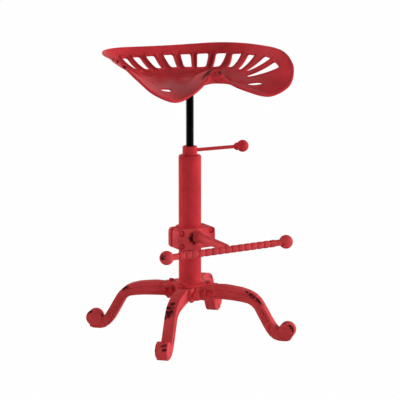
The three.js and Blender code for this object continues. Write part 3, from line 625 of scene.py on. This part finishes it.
def crease_lifts(flat):
    """How far the pressed creases lower each flat point."""
    seat = bpy.context.scene.stool_seat
    deep, wide = seat.crease_depth / MM, seat.crease_width / MM
    lifts = np.zeros(len(flat))
    for crease in CREASES:
        at = on_disc(*np.array(crease).T)
        nearest = np.full(len(flat), 1e9)
        ends = np.zeros(len(flat))
        for i, (start, end) in enumerate(zip(at, at[1:])):
            run = end - start
            t = np.clip((flat - start) @ run / (run @ run), 0, 1)
            away = np.linalg.norm(flat - start - t[:, None] * run, axis=1)
            closer = away < nearest
            nearest = np.where(closer, away, nearest)
            ends = np.where(closer, (i + t) / (len(at) - 1), ends)
        # a crease fades out over the last fifth of its length
        fade = np.clip(np.minimum(ends, 1 - ends) * 5, 0, 1)
        lifts -= deep * fade * np.exp(-(nearest / wide) ** 2)
    return lifts


def rolled_rim(top, degrees):
    """The seven points of the rolled lip below one point of the rim.

    At the front it becomes a leaning skirt under the pommel.
    """
    seat = bpy.context.scene.stool_seat
    side_drop, wide, foot = seat.lip_drop / MM, seat.lip_width / MM, seat.skirt_foot / MM
    pommel = (seat.floor_height + seat.rim_rise * RIM[-1]) / MM
    outward = np.array([math.sin(math.radians(degrees)), math.cos(math.radians(degrees)), 0])
    skirt, full_lean = 155, 15  # degrees from the back where it starts, lean at the pommel
    drop = max(side_drop, top[2] - foot) if abs(degrees) > skirt else side_drop
    lean = full_lean * (drop - side_drop) / (pommel - foot - side_drop) / wide
    profile = ((0.4, 0.06 * wide), (0.75, 0.28 * wide), (0.97, 0.62 * wide), (1, 0.95 * wide),
               (0.88 - lean, drop - 0.8), (0.5 - lean, drop), (0.06 - lean, drop - 0.8))
    return [top + outward * out * wide - (0, 0, down) for out, down in profile]


def pan_mesh():
    """The whole pan as one closed skin: upper face, rolled lip, under face and slot walls."""
    flat, lifts, faces, rim, loops = flat_pan()
    share = np.linalg.norm(flat, axis=1) / DISC
    degrees = np.degrees(np.arctan2(flat[:, 0], flat[:, 1]))
    creased = crease_lifts(flat)
    upper = (pan_points(degrees, share)
             + pan_normals(degrees, share) * (lifts + creased)[:, None])
    # the under face is tucked in below the rim, and its lips are lower
    tucked = share - 0.03 * np.clip((share - 0.93) / 0.07, 0, 1) ** 2
    thick = bpy.context.scene.stool_seat.thickness / MM + 0.3 * lifts - creased
    lower = pan_points(degrees, tucked) - pan_normals(degrees, tucked) * thick[:, None]
    count = len(upper)
    a, b, c = (upper[faces[:, i]] for i in range(3))
    if np.cross(b - a, c - a)[:, 2].sum() < 0:
        faces = faces[:, ::-1]
    polygons = [tuple(face) for face in faces] + [tuple(count + face[::-1]) for face in faces]
    points = [*upper, *lower]
    facing = {(int(p), int(q)) for face in faces for p, q in zip(face, np.roll(face, -1))}
    for loop in loops:
        for p, q in zip(loop, loop[1:] + loop[:1]):
            p, q = (p, q) if (p, q) in facing else (q, p)
            polygons.append((q, p, count + p, count + q))
    rolled = []
    for vertex in rim:
        ring = rolled_rim(upper[vertex], degrees[vertex])
        rolled.append(range(len(points), len(points) + len(ring)))
        points += ring
    chain = [rim, *zip(*rolled), [count + vertex for vertex in rim]]
    spin = 1 if (rim[0], rim[1]) in facing else -1
    for over, below in zip(chain, chain[1:]):
        for i in range(len(rim)):
            j = (i + 1) % len(rim)
            polygons.append((over[j], over[i], below[i], below[j])[::spin])
    mesh = bpy.data.meshes.new("pan_skin")
    mesh.from_pydata([tuple(point * MM) for point in points], [], polygons)
    mesh.validate()
    return mesh


# --- settings ------------------------------------------------------------------------------

def number_setting(name, description, default, **kind):
    """A number that a user can change, with its unit or subtype."""
    return bpy.props.FloatProperty(name=name, description=description, default=default, **kind)


def length_setting(name, description, default):
    """A length that a user can change, in metres."""
    return number_setting(name, description, default, unit="LENGTH")


def angle_setting(name, description, degrees):
    """An angle that a user can change."""
    return number_setting(name, description, math.radians(degrees), subtype="ANGLE")


def colour_setting(name, description, default):
    """A colour that a user can change, as sRGB hex."""
    return bpy.props.StringProperty(name=name, description=description, default=default)


class StoolStage(bpy.types.PropertyGroup):
    """The camera, the lamps and the paper the stool stands on."""
    lens: number_setting("Lens", "Focal length on a 36 mm sensor", 181.17, unit="CAMERA")
    distance: length_setting("Distance", "From the camera to its aim", 4.5)
    azimuth: angle_setting("Azimuth", "Round from the front leg", 14.762)
    elevation: angle_setting("Elevation", "Above level", 11.959)
    key: number_setting("Key", "Strength of the lamp behind the right", 3.2)
    side: number_setting("Side", "Strength of the lamp on the right", 1.4)
    fill: number_setting("Fill", "Strength of the lamp on the left", 3.1)
    top: number_setting("Top", "Strength of the lamp high in front", 0.66)
    ambient: number_setting("Ambient", "Light from all round", 0.24)
    overhead: number_setting("Overhead", "Light from straight above", 0)
    shadow: number_setting("Shadow", "How much shadow the paper shows", 0.02, subtype="FACTOR")
    paper_colour: colour_setting("Paper", "Colour of the paper", "#FFFFFF")


class StoolFinish(bpy.types.PropertyGroup):
    """Colours and wear of the enamel and of the black screw."""
    paint_colour: colour_setting("Enamel", "Red on steel", "#BE343A")
    cast_colour: colour_setting("Enamel on iron", "Red on castings", "#C24044")
    chip_dark: colour_setting("Chip", "Oxidised metal in chips", "#1A0A0A")
    chip_light: colour_setting("Chip edge", "Browner metal in chips", "#521C1F")
    screw_colour: colour_setting("Screw", "Black oxide", "#050505")
    screw_sheen: colour_setting("Screw sheen", "Oiled black oxide", "#0A0A0A")
    # the wax colour is also the painted shade in the recesses
    wax_and_shade_colour: colour_setting("Wax", "Colour of waxed recesses", "#5E1014")
    roughness: number_setting("Roughness", "Of the enamel", 0.3, subtype="FACTOR")
    # how dark the recesses are painted: dark wax and painted shade
    recess_wax_and_shade: number_setting("Recess wax", "Dark wax in recesses", 0.6, subtype="FACTOR")
    edge_wear: number_setting("Edge wear", "How far edges are rubbed", 0.5, subtype="FACTOR")


class StoolSeat(bpy.types.PropertyGroup):
    """Sizes of the pierced pan."""
    half_width: length_setting("Half width", "Unit of the outline", 0.2)
    floor_height: length_setting("Floor height", "Of the dish's middle", 0.58)
    rim_rise: length_setting("Rim rise", "From the middle to the rim", 0.065)
    ridge_rise: length_setting("Ridge rise", "Of the ridge at the front", 0.011)
    thickness: length_setting("Thickness", "Of the pan", 0.0035)
    lip_width: length_setting("Lip width", "Of the rolled rim", 0.004)
    lip_drop: length_setting("Lip drop", "Of the rolled rim", 0.0065)
    skirt_foot: length_setting("Skirt foot", "Height under the pommel", 0.59)
    slot_lip: length_setting("Slot lip", "Raised edge of the slots", 0.0038)
    crease_depth: length_setting("Crease depth", "Behind the lobes", 0.0055)
    crease_width: length_setting("Crease width", "Behind the lobes", 0.0048)
    skin_pitch: length_setting("Skin pitch", "Size of the skin's faces", 0.0042)
    turned: angle_setting("Turned", "Of the seat on its screw", 37.2)


class StoolFittings(bpy.types.PropertyGroup):
    """Sizes of the screw's thread, the scrolls and the footrest's grip."""
    thread_pitch: length_setting("Thread pitch", "Of the lead screw", 0.004)
    thread_depth: length_setting("Thread depth", "Of the lead screw", 0.0013)
    scroll_radius: length_setting("Scroll radius", "Of a foot's scroll", 0.0185)
    scroll_width: length_setting("Scroll width", "Of a foot's scroll", 0.028)
    groove_depth: length_setting("Groove depth", "In the footrest bar", 0.0021)
    groove_lean: angle_setting("Groove lean", "Of the bar's grooves", 3)


# --- pieces --------------------------------------------------------------------------------

class STOOL_OT_seat(bpy.types.Operator):
    """Models the dished pan with its slots, lips and rolled rim."""
    bl_idname = "stool.seat"
    bl_label = "Seat Pan"

    def execute(self, context):
        piece = bpy.data.objects.new("pan_skin", pan_mesh())
        context.scene.collection.objects.link(piece)
        place(piece, turned_to(math.degrees(context.scene.stool_seat.turned)))
        hand_over(piece, "pan_skin", "seat", ["seat_pan"], finish(PRESSED, "seat"),
                  50)
        return {"FINISHED"}


class STOOL_OT_screw(bpy.types.Operator):
    """Models the lead screw with its thread, the boss it is pinned in and its cross pin, and
    blackens the guide and the end nut.
    """
    bl_idname = "stool.screw"
    bl_label = "Lead Screw"

    def execute(self, context):
        black, red = black_oxide("black_oxide_steel"), finish(SPRAYED)
        low, high, crest = 330, 565.7, 9
        thread = self.thread(low, high, crest)
        stud = turn([(4.4, low - 16), (5, low - 15.2), (5, low + 1)], 24)
        hand_over(join(thread, stud), "lead_screw", "seat", ["seat_screw"], black)
        boss = turn([(9.6, 558), (13.6, 557.7), (14.8, 558.6), (15, 560), (15, 569), (16, 570.8),
                     (19, 572.2), (23.2, 573), (24, 574), (24, 576.2), (9.6, 576.2)], hollow=True)
        hand_over(boss, "seat_socket", "seat", ["seat_boss"], red)
        pin = turn([(2.2, -15), (3, -14.2), (3, 14.2), (2.2, 15)], 20)
        place(pin, turned_to(math.degrees(context.scene.stool_seat.turned), (0, 0, 564.2))
              @ Matrix.Rotation(QUARTER, 4, "X"))
        hand_over(pin, "cross_pin", "seat", ["seat_pin"], red)
        for node in ("screw_guide", "screw_end_nut"):
            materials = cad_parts[node].data.materials
            materials.clear()
            materials.append(black)
        return {"FINISHED"}

    def thread(self, low, high, crest):
        """The threaded rod between two heights: one pitch of its profile, screwed upwards."""
        sizes = bpy.context.scene.stool_fittings
        pitch, depth = sizes.thread_pitch / MM, sizes.thread_depth / MM
        rod = begin(bpy.ops.mesh.primitive_plane_add, size=MM,
                    location=((crest - depth) * MM, 0, (low - pitch) * MM))
        bpy.ops.mesh.merge(type="CENTER")
        leave()
        place(rod, Matrix.Identity(4))
        edit()
        for out, along in ((0, 0.12), (depth, 0.2), (0, 0.36), (-depth, 0.2), (0, 0.12)):
            bpy.ops.mesh.extrude_vertices_move(
                TRANSFORM_OT_translate={"value": (out * MM, 0, along * pitch * MM)})
        leave()
        apply_modifier(rod, "SCREW", axis="Z", angle=2 * math.pi, screw_offset=pitch * MM,
                       iterations=int((high + 6 - low) / pitch) + 3, steps=24, render_steps=24,
                       use_merge_vertices=True, merge_threshold=1e-5)
        edit()
        bpy.ops.mesh.remove_doubles(threshold=2e-5)
        for height, direction in ((low, -1), (high, 1)):
            bpy.ops.mesh.select_all(action="SELECT")
            bpy.ops.mesh.bisect(plane_co=(0, 0, height * MM), plane_no=(0, 0, direction),
                                use_fill=True, clear_outer=True)
        face_outwards()
        leave()
        return rod


class STOOL_OT_lock(bpy.types.Operator):
    """Models the lock nut and its lever with bead and ball."""
    bl_idname = "stool.lock"
    bl_label = "Lock Lever"

    def execute(self, context):
        red = finish(SPRAYED)
        low, high, radius = LEVER_HEIGHT - 10, LEVER_HEIGHT + 10, 16.5
        nut = turn([(SCREW_BORE, low), (radius - 1.6, low), (radius - 0.5, low + 0.5),
                    (radius, low + 1.6), (radius, high - 2), (radius - 0.6, high - 0.6),
                    (radius - 2, high), (SCREW_BORE, high)], hollow=True)
        hand_over(nut, "lock_collar", "lock_nut", ["lock_nut"], red)
        aim = turned_to(LEVER_TURN, (0, 0, LEVER_HEIGHT)) @ Matrix.Rotation(QUARTER, 4, "Y")
        rod = place(turn([(3.6, 12.2), (4, 12.6), (4, 60), (4, 117)], 24), aim)
        hand_over(rod, "lock_lever", "lock_nut", ["lever_rod"], red)
        bead = arc(8.8, 117.5, range(30, 106, 9))
        knob = place(turn(bead + arc(13.7, 131, range(38, 179, 10)), 40), aim)
        hand_over(knob, "lever_knob", "lock_nut", ["lever_ball"], red)
        return {"FINISHED"}


class STOOL_OT_column(bpy.types.Operator):
    """Models the pipe column, its cap, the square plate and the weld between them."""
    bl_idname = "stool.column"
    bl_label = "Column"

    def execute(self, context):
        red, worn_edge = finish(SPRAYED), 0.3
        top = 405.7  # of the tube; the cap lies on it and reaches 30 mm into it
        tube = turn([(COLUMN_BORE, COLUMN_FOOT), (COLUMN_RADIUS, COLUMN_FOOT),
                     (COLUMN_RADIUS, 265), (COLUMN_RADIUS, top - worn_edge),
                     (COLUMN_RADIUS - worn_edge, top), (COLUMN_BORE, top)], 64, hollow=True)
        hand_over(tube, "pipe_column", "base_column", ["column_tube"], red)
        fit, spigot, edge_radius = 0.3, COLUMN_BORE - 0.3, 3.2
        edge = [(COLUMN_RADIUS - edge_radius * (1 - math.cos(math.radians(t))),
                 407.8 + edge_radius * math.sin(math.radians(t))) for t in range(0, 91, 15)]
        cap = turn([(SCREW_BORE, 376), (spigot, 376), (spigot, top + fit),
                    (COLUMN_RADIUS - worn_edge, top + fit), (COLUMN_RADIUS, top + 2 * fit),
                    *edge, (11, 411), (SCREW_BORE, 410)], 64, hollow=True)
        hand_over(cap, "column_lid", "base_column", ["column_cap"], red)
        side, thick, corner = 81, 4, 13
        plate = begin(bpy.ops.mesh.primitive_cube_add, size=MM, location=(0, 0, 119 * MM),
                      scale=(side, side, thick))
        leave()
        place(plate, turned_to(45))
        edit()
        pick("EDGE", lambda edge, middle: abs(edge.verts[0].co.z - edge.verts[1].co.z) > MM)
        bpy.ops.mesh.bevel(offset=corner * MM, offset_type="OFFSET", segments=8, affect="EDGES")
        leave()
        bevel(plate, 0.7)
        # the weld is a plain fillet round the tube's foot
        weld = turn([(25.7, 120.4), (31.6, 120.4), (31, 121.6), (28.6, 123.2), (26.6, 125.6),
                     (25.9, 126.8), (25.7, 126.6)], 96, hollow=True)
        hand_over(join(plate, weld), "foot_plate", "base_column", ["base_plate"], red)
        return {"FINISHED"}


class STOOL_OT_hub(bpy.types.Operator):
    """Rounds the edges of the cast hub under the plate."""
    bl_idname = "stool.hub"
    bl_label = "Hub"

    def execute(self, context):
        hand_over(softened("base_hub", 0.9), "cast_hub", "base_column", ["base_hub"],
                  finish(CAST), 35)
        return {"FINISHED"}


class STOOL_OT_legs(bpy.types.Operator):
    """Models one scroll leg and copies it round the hub."""
    bl_idname = "stool.legs"
    bl_label = "Legs"

    def execute(self, context):
        pattern = join(self.strap(), self.scroll())
        for where, degrees in LEG_PLACES:
            hand_over(copied(pattern, "scroll_leg", turned_to(degrees)), "scroll_leg_" + where,
                      "base_column", ["leg_" + where], finish(CAST, "leg_" + where),
                      50)
        bpy.data.objects.remove(pattern)
        return {"FINISHED"}

    def strap(self):
        """The leg along X: a section extruded along its run, with its sides sunk."""
        rows, half_thick = 7, 12
        (x, top), (_, foot) = LEG_RUN[0]
        middle, run = Vector((x, 0, (top + foot) / 2)), Vector((0, 0, top - foot))
        strap = begin(bpy.ops.mesh.primitive_grid_add, x_subdivisions=rows, y_subdivisions=1,
                      size=MM, location=middle * MM, rotation=(0, QUARTER, 0))
        leave()
        strap.scale = (top - foot, 2 * half_thick, 1)
        place(strap, Matrix.Identity(4))
        # the rows of the section between the two bands carry the sunk panel
        panel = strap.vertex_groups.new(name="panel")
        shares = {v.index: (top - v.co.z / MM) / (top - foot) for v in strap.data.vertices}
        panel.add([i for i, share in shares.items() if 0.25 < share < 0.9], 1, "REPLACE")
        edit()
        for (upper_x, upper_z), (lower_x, lower_z) in LEG_RUN[1:]:
            new_middle = Vector(((upper_x + lower_x) / 2, 0, (upper_z + lower_z) / 2))
            new_run = Vector((upper_x - lower_x, 0, upper_z - lower_z))
            bpy.ops.mesh.extrude_region_move(
                TRANSFORM_OT_translate={"value": (new_middle - middle) * MM})
            lean = math.atan2(new_run.x, new_run.z) - math.atan2(run.x, run.z)
            grow, about = new_run.length / run.length, new_middle * MM
            bpy.ops.transform.rotate(value=-lean, orient_axis="Y", center_override=about)
            bpy.ops.transform.resize(value=(grow, 1, grow), center_override=about)
            middle, run = new_middle, new_run
        face_outwards()
        self.sink_panels(strap)
        leave()
        bevel(strap, 1.8, 3, 30)
        return strap

    def sink_panels(self, strap):
        """Sinks a long panel into both sides, between the upper and the lower band."""
        mesh = bmesh.from_edit_mesh(strap.data)
        weights = mesh.verts.layers.deform.active
        start, end = 62, 188  # how far out the panels reach
        for side in (-1, 1):
            pick("FACE", lambda face, middle: face.normal.y * side > 0.9
                 and start < middle.x < end and all(0 in v[weights] for v in face.verts))
            bpy.ops.mesh.inset(thickness=1.3 * MM, depth=-2.2 * MM, use_boundary=True)

    def scroll(self):
        """The foot's scroll: a drum across the leg with rounded rims."""
        sizes = bpy.context.scene.stool_fittings
        radius, half = sizes.scroll_radius / MM, sizes.scroll_width / MM / 2
        rim = ((4, 0.6), (2.6, 0), (0.8, 0.8), (0, 2.4))
        drum = turn([(radius - off, side * (half - off_end)) for side, corners in
                     ((-1, rim), (1, rim[::-1])) for off, off_end in corners], 40)
        return place(drum, turned_to(0, (225, 0, 23)) @ Matrix.Rotation(QUARTER, 4, "X"))


def hex_bolt(across, head, diameter, grip, nut_at=0, nut=0):
    """A hexagon bolt along Z, its head below height 0, its chamfered nut from nut_at up."""
    corner, radius = across / math.sqrt(3), diameter / 2
    parts = [turn([(corner * 0.8, -head), (corner * 0.86, -head), (corner, 0.7 - head),
                   (corner, 0)], 6)]
    bevel(parts[0], 0.35, 2, 40)
    parts.append(turn([(radius, -head / 2), (radius, grip - 0.6), (radius - 0.6, grip)], 24))
    if nut:
        top = nut_at + nut
        parts.append(turn([(corner * 0.9, nut_at), (corner, nut_at + 0.5), (corner, top - 0.7),
                           (corner * 0.86, top)], 6))
        bevel(parts[2], 0.35, 2, 40)
    return join(*parts)


class STOOL_OT_bolts(bpy.types.Operator):
    """Models the three kinds of hexagon bolt and puts each one in its place."""
    bl_idname = "stool.bolts"
    bl_label = "Bolts"

    def execute(self, context):
        on_plate = hex_bolt(across=10, head=4, diameter=6, grip=11.3)
        on_leg = hex_bolt(across=13, head=5.3, diameter=8, grip=45.7, nut_at=37.2, nut=6.5)
        on_clamp = hex_bolt(across=10, head=4, diameter=6, grip=46.6, nut_at=39.6, nut=5)
        sideways = Matrix.Rotation(-QUARTER, 4, "X")
        for where, degrees in LEG_PLACES:
            self.put(on_plate, turned_to(degrees, (43.5, 0, COLUMN_FOOT))
                     @ Matrix.Rotation(math.pi, 4, "X"), "base_column", "plate_bolt_" + where)
            for end, out in (("inner", 38), ("outer", 52)):
                self.put(on_leg, turned_to(degrees, (out, -18.6, 101)) @ sideways,
                         "base_column", f"leg_bolt_{where}_{end}")
        for where, x in (("left", -38), ("right", 38)):
            for level, z in (("low", 211), ("high", 241)):
                self.put(on_clamp, turned_to(FOOTREST_TURN, (x, -24.8, z)) @ sideways,
                         "footrest", f"clamp_bolt_{where}_{level}")
        for pattern in (on_plate, on_leg, on_clamp):
            bpy.data.objects.remove(pattern)
        return {"FINISHED"}

    def put(self, pattern, matrix, body, node):
        """Copies a bolt, puts it in its place and hands it over."""
        hand_over(copied(pattern, node + "_hex", matrix), node + "_hex", body, [node],
                  finish(SPRAYED), 30)


class STOOL_OT_clamp(bpy.types.Operator):
    """Rounds the edges of the two cast halves of the clamp."""
    bl_idname = "stool.clamp"
    bl_label = "Clamp"

    def execute(self, context):
        for node in ("clamp_front", "clamp_rear"):
            hand_over(softened(node, 1.1), "cast_" + node, "footrest", [node],
                      finish(CAST, node), 35)
        return {"FINISHED"}


class STOOL_OT_footrest(bpy.types.Operator):
    """Models the footrest's arm, its grooved bar and the balls at its ends."""
    bl_idname = "stool.footrest"
    bl_label = "Footrest"

    def execute(self, context):
        iron = finish(CAST, "footrest")
        arm = turn([(9.6, 29.7), (10, 30.1), (10, 39), (14.2, 39.2), (13.7, 40.4), (12.6, 42.6),
                    (11.7, 46), (11, 52), (10.4, 64), (9.6, 90), (8.9, 120), (8.3, 150), (8, 158),
                    (7.2, 162), (5.2, 165.2), (2.2, 166.8)], 40)
        place(arm, turned_to(FOOTREST_TURN, (0, 0, ARM_HEIGHT)) @ Matrix.Rotation(QUARTER, 4, "X"))
        hand_over(arm, "round_arm", "footrest", ["footrest_arm"], iron)
        along = (turned_to(FOOTREST_TURN, (0, -BAR_REACH, BAR_HEIGHT))
                 @ Matrix.Rotation(QUARTER, 4, "Y"))
        hand_over(place(self.grip_bar(), along), "grip_bar", "footrest", ["footrest_bar"], iron,
                  60)
        ball = turn(arc(15.5, 0, range(36, 179, 8)), 40)
        out = Matrix.Translation((0, 0, 151.4 * MM))
        for where, flip in (("left", math.pi), ("right", 0)):
            hand_over(copied(ball, "end_ball", along @ Matrix.Rotation(flip, 4, "X") @ out),
                      "end_ball_" + where, "footrest", ["footrest_ball_" + where], iron,
                      60)
        bpy.data.objects.remove(ball)
        return {"FINISHED"}

    def grip_bar(self):
        """The bar about Z: plain necks and fifteen barrels with leaning grooves between them."""
        sizes = bpy.context.scene.stool_fittings
        groove = sizes.groove_depth / MM
        radius, neck, grip, end, barrels = 8.2, 7, 123.8, 146.5, 15
        pitch = 2 * grip / barrels
        # a barrel's profile: how far along it, share of the groove's depth
        barrel = ((0.03, 0), (0.07, 0.55), (0.15, 0.85), (0.3, 1), (0.7, 1), (0.85, 0.85),
                  (0.93, 0.55), (0.97, 0))
        profile = [(neck, -end), (neck, -grip - 0.8), (neck - 0.4, -grip)]
        for i in range(barrels):
            start = -grip + i * pitch
            profile += [(radius - groove * (1 - share), start + pitch * along)
                        for along, share in barrel]
        bar = turn([*profile, (neck - 0.4, grip), (neck, grip + 0.8), (neck, end)], 32)
        leaning = Matrix.Identity(4)
        leaning[2][0] = -math.tan(sizes.groove_lean)
        bar.data.transform(leaning)
        return bar


class STOOL_OT_stage(bpy.types.Operator):
    """Lays the white paper, sets the soft lamps and aims the camera."""
    bl_idname = "stool.stage"
    bl_label = "Stage"

    def execute(self, context):
        stage = context.scene.stool_stage
        context.scene.view_settings.view_transform = "Standard"
        bpy.ops.object.select_all(action="DESELECT")
        bpy.ops.mesh.primitive_plane_add(size=60, location=(0, 0, -0.0004))
        paper = context.object
        paper.name = "paper"
        paper.data.materials.append(studio_white("white_paper"))
        self.world(context, stage)
        # each lamp's softness, azimuth and elevation in degrees
        for name, strength, soft, azimuth, elevation in (
                ("key_lamp", stage.key, 40, 120, 10), ("side_lamp", stage.side, 40, 60, 10),
                ("fill_lamp", stage.fill, 40, -90, 10), ("top_lamp", stage.top, 40, 15, 55)):
            bpy.ops.object.light_add(type="SUN", location=(0, 0, 3), rotation=(
                math.radians(90 - elevation), 0, math.radians(azimuth)))
            context.object.name = name
            context.object.data.energy = strength
            context.object.data.angle = math.radians(soft)
        self.camera(context, stage)
        return {"FINISHED"}

    def camera(self, context, stage):
        """Aims the camera from the photo's side at a point a little beside the column."""
        beside, height = 0.02258, 0.308434
        level = math.cos(stage.elevation)
        back = Vector((math.sin(stage.azimuth) * level, -math.cos(stage.azimuth) * level,
                       math.sin(stage.elevation)))
        right = Vector((math.cos(stage.azimuth), math.sin(stage.azimuth), 0))
        bpy.ops.object.camera_add()
        camera = context.object
        camera.name = "photo_camera"
        camera.data.lens = stage.lens
        camera.data.sensor_width = 36
        camera.data.clip_end = 100
        aim = right * beside + Vector((0, 0, height)) + back * stage.distance
        turned = Matrix((right, back.cross(right), back)).transposed().to_4x4()
        camera.matrix_world = Matrix.Translation(aim) @ turned
        context.scene.camera = camera

    def world(self, context, stage):
        """White to the camera and in reflections, softer as a light."""
        world = context.scene.world = bpy.data.worlds.new("studio")
        world.use_nodes = True
        tree = world.node_tree
        tree.nodes.clear()
        way = add_node(tree, "SeparateXYZ", links={
            "Vector": add_node(tree, "TexCoord").outputs["Generated"]})
        sky = add_node(tree, "MapRange", values={
            "From Max": 0.6, "To Min": stage.ambient, "To Max": stage.overhead},
            links={"Value": way.outputs["Z"]})
        strength = add_node(tree, "MapRange", links={"Value": background_rays(tree),
                                                     "To Min": sky.outputs[0]})
        light = add_node(tree, "Background", values={"Color": (1, 1, 1, 1)},
                         links={"Strength": strength.outputs[0]})
        tree.links.new(light.outputs["Background"],
                       add_node(tree, "OutputWorld").inputs["Surface"])


class STOOL_PT_panel(bpy.types.Panel):
    """Lists the stool's steps in the sidebar."""
    bl_idname = "STOOL_PT_panel"
    bl_label = "Tractor Seat Stool"
    bl_space_type = "VIEW_3D"
    bl_region_type = "UI"
    bl_category = "Stool"

    def draw(self, context):
        for operator in OPERATORS:
            self.layout.operator(operator.bl_idname)


OPERATORS = (STOOL_OT_stage, STOOL_OT_seat, STOOL_OT_screw, STOOL_OT_lock, STOOL_OT_column,
             STOOL_OT_hub, STOOL_OT_legs, STOOL_OT_bolts, STOOL_OT_clamp, STOOL_OT_footrest)
SETTINGS = {"stool_stage": StoolStage, "stool_finish": StoolFinish, "stool_seat": StoolSeat,
            "stool_fittings": StoolFittings}


def register():
    """Registers the settings, the steps and the panel."""
    for name, settings in SETTINGS.items():
        bpy.utils.register_class(settings)
        setattr(bpy.types.Scene, name, bpy.props.PointerProperty(type=settings))
    for kind in (*OPERATORS, STOOL_PT_panel):
        bpy.utils.register_class(kind)


def unregister():
    """Takes back what register added."""
    for kind in (STOOL_PT_panel, *reversed(OPERATORS)):
        bpy.utils.unregister_class(kind)
    for name, settings in SETTINGS.items():
        delattr(bpy.types.Scene, name)
        bpy.utils.unregister_class(settings)


def main():
    """Dresses the whole stool."""
    register()
    for operator in OPERATORS:
        step = operator.bl_idname.split(".")[1]
        getattr(bpy.ops.stool, step)()


if __name__ == "__main__":
    main()
